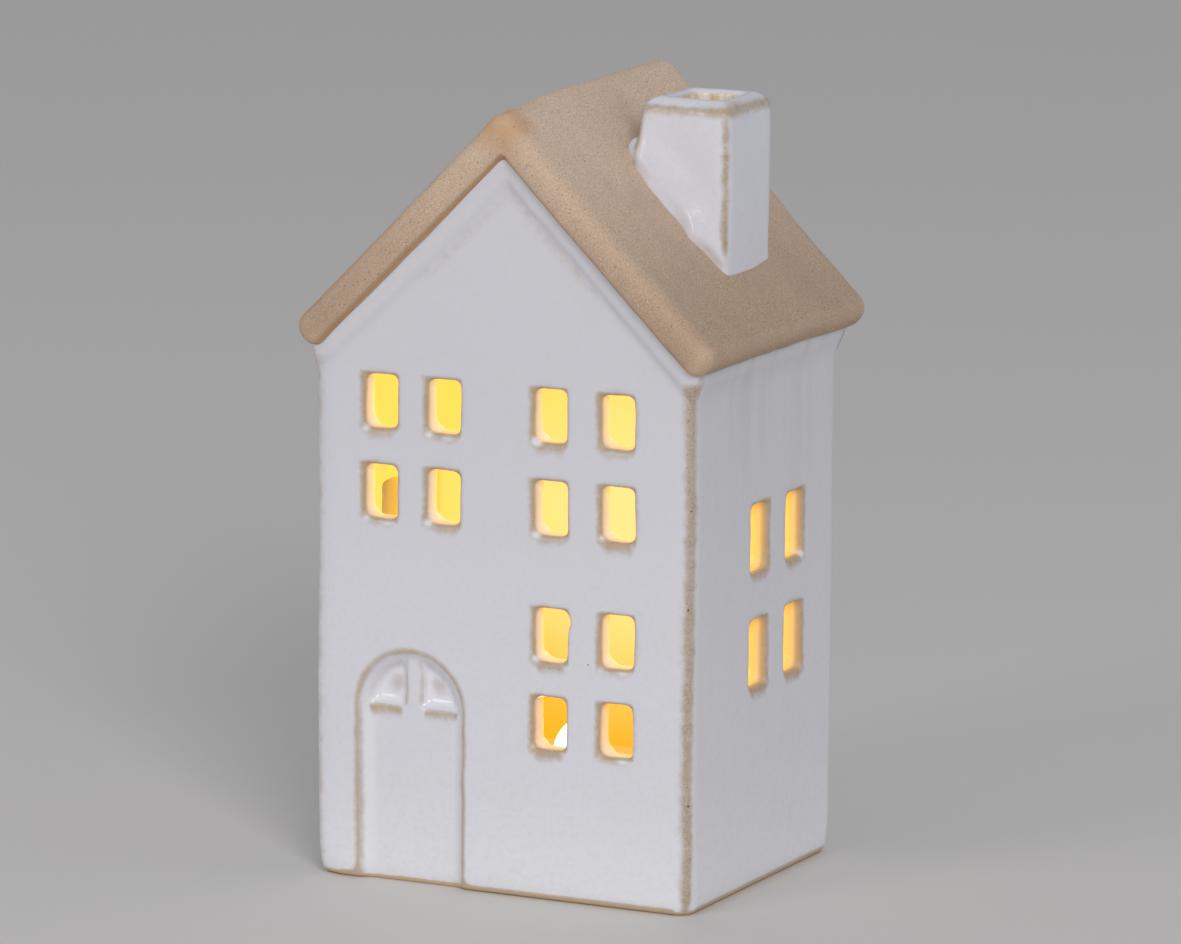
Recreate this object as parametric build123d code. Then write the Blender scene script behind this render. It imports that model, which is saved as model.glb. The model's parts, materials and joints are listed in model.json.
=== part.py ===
from build123d import *
import math
import os

# Village house in stoneware: white glazed walls and chimney, bare sandy roof.
# A battery light plugs into an opening in its floor and glows through the windows.
# Millimetres, +Z up, front towards -Y, origin on the table under the middle of the house.

# House walls
wall_width = 80.0
wall_depth = 66.4
eave_height = 106.0
wall_thickness = 5.0
wall_corner_radius = 2.2
room_corner_radius = 2.0
foot_height = 3.0
foot_edge_radius = 1.0
floor_thickness = 5.0

# Front windows: columns as shares of the wall width from its middle, rows as shares of the eave height
window_width = 6.9
window_height = 10.5
window_corner_radius = 1.0
window_edge_radius = 0.5
left_column_shares = (-0.3425, -0.1723)
right_column_shares = (0.1173, 0.2963)
upper_row_shares = (0.903, 0.735)
lower_row_shares = (0.5, 0.334)

# Side windows: columns as shares of the wall depth from its middle, towards the back on the right wall
side_window_width = 7.8
side_window_height = 13.4
side_column_shares = (-0.0434, 0.2054)
side_row_shares = (0.6575, 0.4425)

# Arched door in relief on the front wall
door_panel_width = 23.0
door_spring_height = 35.2
door_middle_share = -0.2603
door_panel_depth = 1.2
door_panel_splay = 1.2
pane_depth = 1.2
pane_splay = 0.5
pane_margin = 1.9
pane_corner_radius = 1.0
mullion_width = 3.5

# Roof
roof_pitch = 44.5
roof_thickness = 7.0
gable_overhang = 4.0
eave_reach = 1.0
ridge_radius = 3.0
eave_top_radius = 3.2
eave_low_radius = 2.8
roof_rim_radius = 2.6

# Chimney: its middle as shares of the wall width and depth
chimney_middle_share = 0.316
chimney_back_share = 0.0343
chimney_width = 18.8
chimney_depth = 21.0
chimney_rise = 10.0
chimney_lean = 8.0
chimney_corner_radius = 2.0
chimney_rim_radius = 1.6
flue_width = 11.0
flue_depth = 12.0
flue_corner_radius = 1.5
flue_rim_radius = 1.2

# AAA cells
cell_diameter = 10.5
cell_length = 44.5
cell_button_diameter = 3.8
cell_button_length = 1.0
cell_edge_radius = 0.6
cell_end_inset = 0.3
cell_end_diameter = 8.4
cell_gap = 0.8
cell_side_gap = 0.4
cell_lift = 0.3

# Cell contacts
strip_thickness = 0.4
strip_width = 8.0
strip_foot_gap = 1.2
tab_width = 2.2
tab_gap = 0.15
leaf_width = 4.6
leaf_height = 7.2
leaf_travel = 3.4

# Light base: flange, battery bay, switch room
base_wall = 1.6
base_end_wall = 3.4
base_divider = 1.4
base_corner_radius = 4.0
bay_front_wall = 2.8
switch_room_width = 11.6
flange_reach = 4.0
flange_thickness = 1.8
flange_gap = 1.0
flange_edge_radius = 0.6
bay_ceiling = 1.0
board_rib_height = 0.7
board_rib_width = 1.4
board_rib_share = 0.33
stake_diameter = 1.8
stake_head_height = 0.5
stake_place_share = -0.3
post_diameter = 4.8
post_end_gap = 3.6
post_side_gap = 1.7
scoop_radius = 3.6
scoop_depth = 1.0

# Battery hatch
hatch_thickness = 2.0
hatch_gap = 0.15
hatch_end_overlap = 1.7
hatch_side_overlap = 1.0
pin_diameter = 1.2
pin_length = 1.5
pin_gap = 0.05
tongue_width = 8.0
tongue_thickness = 1.0
tongue_height = 3.6
barb_height = 1.2
barb_depth = 0.35
tongue_gap = 0.35
catch_depth = 0.4
grip_groove_count = 3
grip_groove_width = 0.8
grip_groove_depth = 0.4
grip_groove_length = 9.0
grip_groove_pitch = 1.8
grip_groove_setback = 3.0

# Grip ring
ring_sleeve = 1.2
ring_rib = 0.5
ring_rib_height = 0.8
ring_rib_shares = (0.2, 0.5, 0.8)
ring_gap = 0.15

# Cover and screws
cover_thickness = 1.3
cover_edge_radius = 0.6
cover_lip = 1.0
cover_lip_depth = 1.1
cover_lip_gap = 0.1
screw_diameter = 2.0
screw_length = 7.0
screw_head_diameter = 3.8
screw_head_height = 1.0
screw_gap = 0.05
screw_slot_width = 0.6
screw_slot_depth = 0.5

# Circuit board and what it carries
board_thickness = 0.8
board_corner_radius = 4.0
board_edge_gap = 1.9
board_post_gap = 0.8
board_headroom = 1.5
chip_length = 4.9
chip_width = 3.9
chip_height = 1.2
chip_foot = 0.15
chip_leg_width = 0.4
chip_leg_reach = 1.0
chip_leg_pitch = 1.27
chip_legs_a_side = 4
chip_place_shares = (0.3, 0.02)
resistor_size = (3.2, 1.6, 0.6)
resistor_place_shares = (-0.26, -0.12)
capacitor_size = (2.0, 1.3, 0.9)
capacitor_place_shares = (-0.26, 0.1)

# Light-emitting diode and its diffuser
led_diameter = 5.0
led_height = 8.6
led_rim_diameter = 5.8
led_rim_height = 1.0
lead_width = 0.5
lead_pitch = 2.54
lead_hole_gap = 0.2
lead_stub = 0.5
diffuser_diameter = 11.0
diffuser_height = 10.0
diffuser_wall = 1.2
diffuser_straight = 2.2
diffuser_tip_radius = 1.3
diffuser_rim_diameter = 13.6
diffuser_gap = 0.15

# Slide switch
switch_length = 12.0
switch_width = 5.4
switch_height = 4.6
switch_sheet = 0.4
switch_travel = 4.0
switch_gap = 0.15
switch_rib_thickness = 1.2
switch_rib_height = 3.0
knob_length = 3.2
knob_width = 2.2
knob_stand = 0.8
knob_edge_radius = 0.4
carriage_length = 5.6
carriage_height = 1.4
wiper_thickness = 0.3
wiper_length = 4.8
wiper_width = 2.6
wafer_thickness = 0.8
terminal_pitch = 3.0
terminal_width = 0.9
terminal_thickness = 0.4
terminal_height = 2.6
slot_gap = 0.4

# Switch wires
wire_diameter = 1.1
wire_bend_radius = 1.2
wire_riser = 2.0
wire_inset = 1.6

# Every cut runs this far past the face that it opens
overrun = 1.0

# Roof lines
slope = math.tan(math.radians(roof_pitch))
slope_cosine = math.cos(math.radians(roof_pitch))
slope_sine = math.sin(math.radians(roof_pitch))
apex_height = eave_height + slope * wall_width / 2
ridge_height = apex_height + roof_thickness / slope_cosine
chimney_top = apex_height + chimney_rise
chimney_x = chimney_middle_share * wall_width
chimney_y = chimney_back_share * wall_depth

# Light unit, laid out from the cells outwards
bay_length = cell_length + leaf_travel + 2 * strip_thickness
cell_pitch = cell_diameter + cell_gap
bay_width = cell_pitch + cell_diameter + 2 * cell_side_gap
base_length = bay_length + 2 * base_end_wall
base_width = bay_front_wall + bay_width + base_divider + switch_room_width + base_wall
ring_thickness = ring_sleeve + ring_rib
opening_margin = ring_thickness + ring_gap
bay_y = -base_width / 2 + bay_front_wall + bay_width / 2
bay_side = bay_y + bay_width / 2
switch_room_start = bay_side + base_divider
switch_y = switch_room_start + switch_room_width / 2
inner_length = base_length - 2 * base_wall
inner_width = base_width - 2 * base_wall

# Heights, from the table up
floor_top = foot_height + floor_thickness
flange_bottom = foot_height - flange_thickness
hatch_top = flange_bottom + hatch_thickness
hatch_middle = flange_bottom + hatch_thickness / 2
cell_axis = hatch_top + cell_lift + cell_diameter / 2
bay_top = cell_axis + cell_diameter / 2 + cell_lift
ceiling_top = bay_top + bay_ceiling
board_bottom = ceiling_top + board_rib_height
board_top = board_bottom + board_thickness
rim_height = board_top + board_headroom
cover_top = rim_height + cover_thickness
switch_top = foot_height + switch_height
carriage_bottom = foot_height + switch_sheet + switch_gap
carriage_top = carriage_bottom + carriage_height
wiper_top = carriage_top + wiper_thickness
terminal_top = switch_top + terminal_height

# Hatch, hinge and knob
hinge_x = -(bay_length / 2 + hatch_end_overlap)
hatch_end = bay_length / 2 + hatch_end_overlap
hatch_width = bay_width + 2 * hatch_side_overlap
knob_rest = -switch_travel / 2

# Board outline and screw posts
post_x = inner_length / 2 - post_end_gap
post_y = base_width / 2 - base_wall - post_side_gap - post_diameter / 2
board_length = inner_length - 2 * board_edge_gap
board_front = -inner_width / 2 + board_edge_gap
board_back = post_y - post_diameter / 2 - board_post_gap
board_width = board_back - board_front
board_y = (board_front + board_back) / 2
rib_x = board_rib_share * board_length
stake_y = board_y + stake_place_share * board_width


def rounded_block(length, width, radius, low, high):
    """A block with rounded upright corners, on the Z axis, from one height to another."""
    return Pos(0, 0, low) * extrude(RectangleRounded(length, width, radius), high - low)


def base_block(margin, low, high):
    """A block on the light base's outline, grown all round by a margin."""
    return rounded_block(
        base_length + 2 * margin, base_width + 2 * margin, base_corner_radius + margin, low, high
    )


def block(low, high):
    """A plain block between two corners."""
    size = [b - a for a, b in zip(low, high)]
    return Pos(*low) * Box(*size, align=(Align.MIN, Align.MIN, Align.MIN))


def post(x, y, diameter, low, high):
    """An upright round post or hole."""
    return Pos(x, y, low) * Cylinder(diameter / 2, high - low, align=(Align.CENTER, Align.CENTER, Align.MIN))


def across_front(sketch, depth):
    """A front-view sketch drawn out along Y, the same depth to both sides of Y = 0."""
    return extrude(Plane.XZ * sketch, depth, both=True)


def underside(x):
    """Height of the roof's underside."""
    return apex_height - slope * abs(x)


def topside(x):
    """Height of the roof's upper face, as if the ridge were sharp."""
    return ridge_height - slope * abs(x)


def under_gable(height_at):
    """All that lies below a gable-shaped surface."""
    reach = wall_width
    outline = Polyline(
        (-reach, height_at(reach)),
        (0, height_at(0)),
        (reach, height_at(reach)),
        (reach, -reach),
        (-reach, -reach),
        close=True,
    )
    return across_front(make_face(outline), wall_depth)


def flue_shaft():
    """The square shaft through chimney and roof."""
    shaft = rounded_block(flue_width, flue_depth, flue_corner_radius, eave_height, chimney_top + overrun)
    return Pos(chimney_x, chimney_y) * shaft


def front_window_places():
    """Middles of the front windows, the lower rows only to the right of the door."""
    upper = [(c, r) for r in upper_row_shares for c in left_column_shares + right_column_shares]
    lower = [(c, r) for r in lower_row_shares for c in right_column_shares]
    return [(c * wall_width, r * eave_height) for c, r in upper + lower]


def side_window_places():
    """Middles of the right wall's windows, as distance to the back and height."""
    return [(c * wall_depth, r * eave_height) for r in side_row_shares for c in side_column_shares]


def window_cutter(plane, width, height):
    """A window hole through one wall, on a plane in the wall's outer face."""
    hole = RectangleRounded(width, height, window_corner_radius)
    return extrude(plane * hole, wall_thickness + overrun, both=True)


def door_arch(radius, low):
    """The door's outline: upright sides under a half circle."""
    arch = Pos(0, door_spring_height) * Circle(radius)
    below = Pos(0, (low + door_spring_height) / 2) * Rectangle(2 * radius, door_spring_height - low)
    return arch + below


def door_pane(side):
    """One quarter-round pane in the head of the door."""
    radius = door_panel_width / 2 - pane_margin
    quarter = Pos(0, door_spring_height) * Circle(radius)
    reach = radius - mullion_width / 2
    middle = side * (mullion_width + reach) / 2
    quarter &= Pos(middle, door_spring_height + radius / 2) * Rectangle(reach, radius)
    return fillet(quarter.vertices(), pane_corner_radius)


def splayed_pocket(plane, outline, depth, splay):
    """A pocket that narrows by a splay on every side as it goes into the wall."""
    taper = math.degrees(math.atan2(splay, depth))
    return extrude(plane * outline, -depth, taper=taper)


def door_relief():
    """What the door panel and its two panes take out of the front wall."""
    front = Plane(
        origin=(door_middle_share * wall_width, -wall_depth / 2, 0), x_dir=(1, 0, 0), z_dir=(0, -1, 0)
    )
    panel = front.offset(-door_panel_depth)
    arch = door_arch(door_panel_width / 2, -wall_thickness)
    relief = splayed_pocket(front, arch, door_panel_depth, door_panel_splay)
    for side in (-1, 1):
        relief += splayed_pocket(panel, door_pane(side), pane_depth, pane_splay)
    return relief


def make_house_walls():
    """Four walls with gables and a floor, the floor open for the light unit."""
    body = rounded_block(wall_width, wall_depth, wall_corner_radius, 0, apex_height + overrun)
    body = fillet(body.faces().sort_by(Axis.Z)[0].edges(), foot_edge_radius)
    body &= under_gable(underside)
    room_width = wall_width - 2 * wall_thickness
    room_depth = wall_depth - 2 * wall_thickness
    body -= rounded_block(room_width, room_depth, room_corner_radius, floor_top, apex_height + overrun)
    body -= base_block(flange_reach + flange_gap, -overrun, foot_height)
    body -= base_block(opening_margin, 0, floor_top + overrun)
    for x, z in front_window_places():
        plane = Plane(origin=(x, -wall_depth / 2, z), x_dir=(1, 0, 0), z_dir=(0, -1, 0))
        body -= window_cutter(plane, window_width, window_height)
    for y, z in side_window_places():
        for side in (1, -1):
            plane = Plane(origin=(side * wall_width / 2, side * y, z), x_dir=(0, 1, 0), z_dir=(1, 0, 0))
            body -= window_cutter(plane, side_window_width, side_window_height)
    front = body.faces().filter_by(Axis.Y).sort_by(Axis.Y)[0]
    sides = body.faces().filter_by(Axis.X).sort_by(Axis.X)
    rims = [wire for face in (front, sides[0], sides[-1]) for wire in face.inner_wires()]
    body = fillet([edge for wire in rims for edge in wire.edges()], window_edge_radius)
    return body - door_relief()


def make_roof():
    """Two slopes as one slab, with rounded ridge, eaves and gable rims, and the flue hole."""
    low_x = wall_width / 2 + eave_reach
    high_x = low_x + roof_thickness * slope_sine
    low_z = underside(low_x)
    high_z = low_z + roof_thickness * slope_cosine
    outline = Polyline(
        (-low_x, low_z),
        (0, apex_height),
        (low_x, low_z),
        (high_x, high_z),
        (0, ridge_height),
        (-high_x, high_z),
        close=True,
    )
    section = make_face(outline)
    section = fillet(section.vertices().sort_by(Axis.Y)[-1], ridge_radius)
    section = fillet(section.vertices().sort_by(Axis.Y)[:2], eave_low_radius)
    widest = section.vertices().sort_by(Axis.X)
    section = fillet([widest[0], widest[-1]], eave_top_radius)
    slab = across_front(section, wall_depth / 2 + gable_overhang)
    gables = slab.faces().filter_by(Axis.Y)
    slab = fillet(gables.edges(), roof_rim_radius)
    return slab - flue_shaft()


def make_chimney():
    """A stack with one leaning side, cut to the roof's slope, with rounded corners and rims."""
    right = chimney_x + chimney_width / 2
    left = chimney_x - chimney_width / 2
    foot = topside(right) - overrun
    spread = math.tan(math.radians(chimney_lean)) * (chimney_top - foot)
    outline = Polyline(
        (left - spread, foot), (right, foot), (right, chimney_top), (left, chimney_top), close=True
    )
    stack = Pos(0, chimney_y) * across_front(make_face(outline), chimney_depth / 2)
    corners = [edge for edge in stack.edges() if abs((edge @ 1 - edge @ 0).Z) > chimney_rise]
    stack = fillet(corners, chimney_corner_radius)
    stack -= under_gable(topside)
    stack -= flue_shaft()
    top = stack.faces().sort_by(Axis.Z)[-1]
    stack = fillet(top.outer_wire().edges(), chimney_rim_radius)
    top = stack.faces().filter_by(Axis.Z).sort_by(Axis.Z)[-1]
    return fillet(top.inner_wires()[0].edges(), flue_rim_radius)


def strip_places():
    """Where the cells lie across the bay, front one first."""
    return bay_y - cell_pitch / 2, bay_y + cell_pitch / 2


def hatch_corners(margin, rise):
    """Two corners of the battery hatch's plate, grown by a margin and a rise."""
    side = hatch_width / 2 + margin
    return (hinge_x, bay_y - side, flange_bottom), (hatch_end + margin, bay_y + side, hatch_top + rise)


def hinge_bar(diameter, length):
    """A round bar on the battery hatch's hinge line, centred across the hatch."""
    return Pos(hinge_x, bay_y, hatch_middle) * Rot(90, 0, 0) * Cylinder(diameter / 2, length)


def hatch_recess():
    """The room that the battery hatch closes, with its pin holes and the slot for its tongue."""
    low, high = hatch_corners(hatch_gap, hatch_gap)
    recess = block((low[0], low[1], 0), high)
    recess += hinge_bar(hatch_thickness + 2 * hatch_gap, high[1] - low[1])
    swing_room = hatch_thickness / 2 + hatch_gap
    recess += block((hinge_x - swing_room, low[1], 0), (hinge_x, high[1], hatch_middle))
    recess += hinge_bar(pin_diameter + 2 * pin_gap, hatch_width + 2 * pin_length + 2 * hatch_gap)
    half = tongue_width / 2 + tongue_gap
    inner = hatch_end - tongue_thickness - tongue_gap
    outer = hatch_end + barb_depth + tongue_gap
    slot_top = hatch_top + tongue_height + tongue_gap
    catch_top = hatch_top + tongue_height - barb_height - tongue_gap
    recess += block((inner, bay_y - half, hatch_middle), (outer, bay_y + half, slot_top))
    recess += block((inner, bay_y - half, catch_top), (outer + catch_depth, bay_y + half, slot_top))
    return recess + post(hatch_end, bay_y, 2 * scoop_radius, 0, flange_bottom + scoop_depth)


def switch_slot(low, high):
    """The slot that the switch knob slides in."""
    length = switch_travel + knob_length + 2 * slot_gap
    return switch_block(length, knob_width + 2 * slot_gap, low, high)


def tab_block(x, y, margin, low, high):
    """A contact's tab at one end of the bay, or with a margin the slot that it passes."""
    outer = math.copysign(bay_length / 2 + margin, x)
    inner = math.copysign(bay_length / 2 - strip_thickness - margin, x)
    half = tab_width / 2 + margin
    return block((min(outer, inner), y - half, low), (max(outer, inner), y + half, high))


def make_light_base():
    """The unit's moulded base: flange, battery bay below, room for board and switch above."""
    body = base_block(0, flange_bottom, rim_height)
    flange = base_block(flange_reach, flange_bottom, foot_height)
    body += fillet(flange.faces().sort_by(Axis.Z)[0].edges(), flange_edge_radius)
    room = base_block(-base_wall, foot_height, rim_height + overrun)
    room -= block((-base_length, -base_width, 0), (base_length, switch_room_start, ceiling_top))
    body -= room
    body -= block((-bay_length / 2, bay_side - bay_width, 0), (bay_length / 2, bay_side, bay_top))
    for side in (-1, 1):
        rib = side * rib_x
        body += block(
            (rib - board_rib_width / 2, board_front, ceiling_top),
            (rib + board_rib_width / 2, switch_room_start, board_bottom),
        )
        body += post(rib, stake_y, stake_diameter, ceiling_top, board_top + stake_head_height)
        body += post(side * post_x, post_y, post_diameter, foot_height, rim_height)
        pilot = screw_diameter + 2 * screw_gap
        body -= post(side * post_x, post_y, pilot, cover_top - screw_length - screw_gap, rim_height + overrun)
        start = switch_length / 2 + switch_gap
        ends = sorted((side * start, side * (start + switch_rib_thickness)))
        body += block(
            (ends[0], switch_y - switch_width / 2, foot_height),
            (ends[1], switch_y + switch_width / 2, foot_height + switch_rib_height),
        )
    for y in strip_places():
        body -= tab_block(1, y, tab_gap, bay_top, ceiling_top)
    body -= switch_slot(0, foot_height)
    return body - hatch_recess()


def make_battery_hatch():
    """The battery bay's hatch: hinge bar and pins at one end, a barbed tongue at the other."""
    hatch = block(*hatch_corners(0, 0))
    hatch += hinge_bar(hatch_thickness, hatch_width)
    hatch += hinge_bar(pin_diameter, hatch_width + 2 * pin_length)
    tongue_top = hatch_top + tongue_height
    barb_foot = tongue_top - barb_height
    outline = Polyline(
        (hatch_end - tongue_thickness, hatch_middle),
        (hatch_end, hatch_middle),
        (hatch_end, barb_foot),
        (hatch_end + barb_depth, barb_foot),
        (hatch_end, tongue_top),
        (hatch_end - tongue_thickness, tongue_top),
        close=True,
    )
    hatch += Pos(0, bay_y) * across_front(make_face(outline), tongue_width / 2)
    for row in range(grip_groove_count):
        x = hatch_end - grip_groove_setback - row * grip_groove_pitch
        hatch -= block(
            (x - grip_groove_width / 2, bay_y - grip_groove_length / 2, 0),
            (x + grip_groove_width / 2, bay_y + grip_groove_length / 2, flange_bottom + grip_groove_depth),
        )
    return hatch


def make_grip_ring():
    """Soft sleeve round the base, with ribs that bear on the floor's opening."""
    ring = base_block(ring_sleeve, foot_height, floor_top)
    for share in ring_rib_shares:
        middle = foot_height + share * floor_thickness
        ring += base_block(ring_thickness, middle - ring_rib_height / 2, middle + ring_rib_height / 2)
    return ring - base_block(0, foot_height, floor_top)


def make_light_cover():
    """Lid of the light unit, with a locating lip, the diffuser's hole and two screw holes."""
    lid = base_block(0, rim_height, cover_top)
    lid = fillet(lid.faces().sort_by(Axis.Z)[-1].edges(), cover_edge_radius)
    lip_outside = -base_wall - cover_lip_gap
    lip = base_block(lip_outside, rim_height - cover_lip_depth, rim_height)
    lip -= base_block(lip_outside - cover_lip, rim_height - cover_lip_depth, rim_height)
    for side in (-1, 1):
        lip -= post(side * post_x, post_y, post_diameter + 2 * cover_lip_gap, 0, rim_height)
        lid -= post(side * post_x, post_y, screw_diameter + 2 * screw_gap, rim_height, cover_top)
    lid -= post(0, 0, diffuser_diameter + 2 * diffuser_gap, rim_height, cover_top)
    return lid + lip


def make_cover_screws():
    """Two slotted screws through the cover into the base's posts."""
    screws = []
    for side in (-1, 1):
        x = side * post_x
        head = post(x, post_y, screw_head_diameter, cover_top, cover_top + screw_head_height)
        head = fillet(head.faces().sort_by(Axis.Z)[-1].edges(), screw_head_height / 2)
        slot = (screw_head_diameter, screw_slot_width, 2 * screw_slot_depth)
        head -= Pos(x, post_y, cover_top + screw_head_height) * Box(*slot)
        screws.append(head + post(x, post_y, screw_diameter, cover_top - screw_length, cover_top))
    return Compound(screws)


def make_battery(y, way):
    """One AAA cell along X, its button towards +X (way 1) or -X (way -1)."""
    radius = cell_diameter / 2
    can = cell_length - cell_button_length
    end = cell_end_diameter / 2
    outline = Polyline(
        (0, cell_end_inset),
        (end, cell_end_inset),
        (end, 0),
        (radius, 0),
        (radius, can),
        (cell_button_diameter / 2, can),
        (cell_button_diameter / 2, cell_length),
        (0, cell_length),
        close=True,
    )
    section = make_face(outline)
    rims = [v for v in section.vertices() if abs(v.X - radius) < cell_edge_radius]
    section = fillet(rims, cell_edge_radius)
    cell = revolve(Plane.XZ * section, Axis.Z)
    start = way * (bay_length / 2 - strip_thickness - cell_length)
    return Pos(start, y, cell_axis) * Rot(0, way * 90, 0) * cell


def contact_strip(way, front, back):
    """A flat strip against one end wall of the bay."""
    outer = way * bay_length / 2
    inner = way * (bay_length / 2 - strip_thickness)
    low = hatch_top + strip_foot_gap
    return block((min(outer, inner), front, low), (max(outer, inner), back, bay_top))


def leaf_bow(way, y):
    """A bowed leaf from the strip to a cell's flat end."""
    root = way * (bay_length / 2 - strip_thickness / 2)
    tip = way * (bay_length / 2 - strip_thickness - leaf_travel - cell_end_inset + strip_thickness / 2)
    half = leaf_height / 2
    bow = ThreePointArc((root, cell_axis - half), (tip, cell_axis), (root, cell_axis + half))
    strip = trace(bow, strip_thickness)
    return Pos(0, y) * across_front(strip, leaf_width / 2)


def make_contacts():
    """Positive and negative strips with tabs to the board, and the bridge at the far end."""
    front, rear = strip_places()
    half = strip_width / 2
    positive = contact_strip(1, front - half, front + half)
    positive += tab_block(1, front, 0, bay_top, board_bottom)
    negative = contact_strip(1, rear - half, rear + half)
    negative += tab_block(1, rear, 0, bay_top, board_bottom)
    negative += leaf_bow(1, rear)
    bridge = contact_strip(-1, front - half, rear + half)
    bridge += leaf_bow(-1, front)
    return positive, negative, bridge


def make_circuit_board():
    """The board, with holes for the diode's leads and the base's stakes."""
    board = Pos(0, board_y) * rounded_block(
        board_length, board_width, board_corner_radius, board_bottom, board_top
    )
    for side in (-1, 1):
        hole = lead_width + 2 * lead_hole_gap
        board -= post(side * lead_pitch / 2, 0, hole, board_bottom, board_top)
        board -= post(side * rib_x, stake_y, stake_diameter + 2 * lead_hole_gap, board_bottom, board_top)
    return board


def on_board(shares):
    """A place on the board's upper face, as shares of its length and width from its middle."""
    return shares[0] * board_length, board_y + shares[1] * board_width


def make_timer_chip():
    """The timer chip, standing on a row of legs along each side."""
    x, y = on_board(chip_place_shares)
    half = (chip_length / 2, chip_width / 2)
    chip = block(
        (x - half[0], y - half[1], board_top + chip_foot), (x + half[0], y + half[1], board_top + chip_height)
    )
    for leg in range(chip_legs_a_side):
        middle = x + (leg - (chip_legs_a_side - 1) / 2) * chip_leg_pitch
        chip += block(
            (middle - chip_leg_width / 2, y - half[1] - chip_leg_reach, board_top),
            (middle + chip_leg_width / 2, y + half[1] + chip_leg_reach, board_top + 2 * chip_foot),
        )
    return chip


def make_chip_part(size, shares):
    """A small surface part on the board."""
    x, y = on_board(shares)
    return Pos(x, y, board_top) * Box(*size, align=(Align.CENTER, Align.CENTER, Align.MIN))


def make_led():
    """A round-topped diode standing on the board."""
    dome = led_diameter / 2
    body = post(0, 0, led_rim_diameter, board_top, board_top + led_rim_height)
    body += post(0, 0, led_diameter, board_top, board_top + led_height - dome)
    return body + Pos(0, 0, board_top + led_height - dome) * Sphere(dome)


def make_led_leads():
    """The diode's two square leads, down through the board."""
    half = lead_width / 2
    leads = []
    for side in (-1, 1):
        x = side * lead_pitch / 2
        leads.append(block((x - half, -half, board_bottom - lead_stub), (x + half, half, board_top)))
    return Compound(leads)


def ogive(half_width, base, top, tip):
    """Half of a bullet outline, upright at its base, with a round tip: two tangent arcs."""
    rise = top - tip - base
    radius = (half_width**2 + rise**2 - tip**2) / (2 * (half_width - tip))
    centre = Vector(half_width - radius, base)
    tip_centre = Vector(0, top - tip)
    meet = centre + (tip_centre - centre).normalized() * radius
    flank = TangentArc((half_width, base), (meet.X, meet.Y), tangent=(0, 1))
    return flank + TangentArc((meet.X, meet.Y), (0, top), tangent=flank % 1)


def make_diffuser():
    """Milky hollow tip over the diode, held by its rim between board and cover."""
    half = diffuser_diameter / 2
    bore = half - diffuser_wall
    base = cover_top + diffuser_straight
    tip = cover_top + diffuser_height
    outer = ogive(half, base, tip, diffuser_tip_radius)
    inner = ogive(bore, base, tip - diffuser_wall, diffuser_tip_radius / 2)
    rim = diffuser_rim_diameter / 2
    axis = Line((0, tip - diffuser_wall), (0, tip))
    wall = Polyline(
        (half, base), (half, rim_height), (rim, rim_height), (rim, board_top), (bore, board_top), (bore, base)
    )
    section = make_face(outer.edges() + wall.edges() + inner.edges() + axis.edges())
    return revolve(Plane.XZ * section, Axis.Z)


def switch_block(length, width, low, high, x=0):
    """A block in line with the slide switch, centred on it across the base."""
    return block((x - length / 2, switch_y - width / 2, low), (x + length / 2, switch_y + width / 2, high))


def make_switch():
    """The slide switch: case, wafer, terminals, knob and wiper."""
    inner = (switch_length - 2 * switch_sheet, switch_width - 2 * switch_sheet)
    case = switch_block(switch_length, switch_width, foot_height, switch_top)
    case -= switch_block(*inner, foot_height + switch_sheet, switch_top)
    case -= switch_slot(foot_height, foot_height + switch_sheet)
    blades = []
    for place in (-1, 0, 1):
        blade = (terminal_width, terminal_thickness, wiper_top + switch_gap, terminal_top)
        blades.append(switch_block(*blade, x=place * terminal_pitch))
    wafer = switch_block(*inner, switch_top - wafer_thickness, switch_top) - blades
    knob = switch_block(knob_length, knob_width, flange_bottom - knob_stand, carriage_top, x=knob_rest)
    knob = fillet(knob.faces().sort_by(Axis.Z)[0].edges(), knob_edge_radius)
    carriage = (carriage_length, inner[1] - 2 * switch_gap, carriage_bottom, carriage_top)
    knob += switch_block(*carriage, x=knob_rest)
    wiper = switch_block(wiper_length, wiper_width, carriage_top, wiper_top, x=knob_rest)
    return case, wafer, Compound(blades), knob, wiper


def make_wire(place):
    """An insulated wire from a switch terminal up to the board's underside."""
    x = place * terminal_pitch
    end_y = board_back - wire_inset
    path = FilletPolyline(
        (x, switch_y, terminal_top),
        (x, switch_y, terminal_top + wire_riser),
        (x, end_y, board_bottom - wire_riser),
        (x, end_y, board_bottom),
        radius=wire_bend_radius,
    )
    return sweep(Plane(origin=path @ 0, z_dir=path % 0) * Circle(wire_diameter / 2), path=path)


def make_parts():
    """Every piece by its name."""
    front, rear = strip_places()
    positive, negative, bridge = make_contacts()
    case, wafer, terminals, knob, wiper = make_switch()
    return {
        "house_walls": make_house_walls(),
        "roof": make_roof(),
        "chimney": make_chimney(),
        "light_base": make_light_base(),
        "light_cover": make_light_cover(),
        "grip_ring": make_grip_ring(),
        "battery_hatch": make_battery_hatch(),
        "front_battery": make_battery(front, 1),
        "rear_battery": make_battery(rear, -1),
        "positive_contact": positive,
        "negative_contact": negative,
        "bridge_contact": bridge,
        "circuit_board": make_circuit_board(),
        "timer_chip": make_timer_chip(),
        "resistor": make_chip_part(resistor_size, resistor_place_shares),
        "capacitor": make_chip_part(capacitor_size, capacitor_place_shares),
        "led": make_led(),
        "led_leads": make_led_leads(),
        "diffuser": make_diffuser(),
        "switch_case": case,
        "switch_wafer": wafer,
        "switch_terminals": terminals,
        "switch_knob": knob,
        "switch_wiper": wiper,
        "red_wire": make_wire(0),
        "white_wire": make_wire(1),
        "black_wire": make_wire(-1),
        "cover_screws": make_cover_screws(),
    }


os.makedirs("parts", exist_ok=True)
for name, shape in make_parts().items():
    export_step(shape, f"parts/{name}.step")
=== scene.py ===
import json
import math

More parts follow.
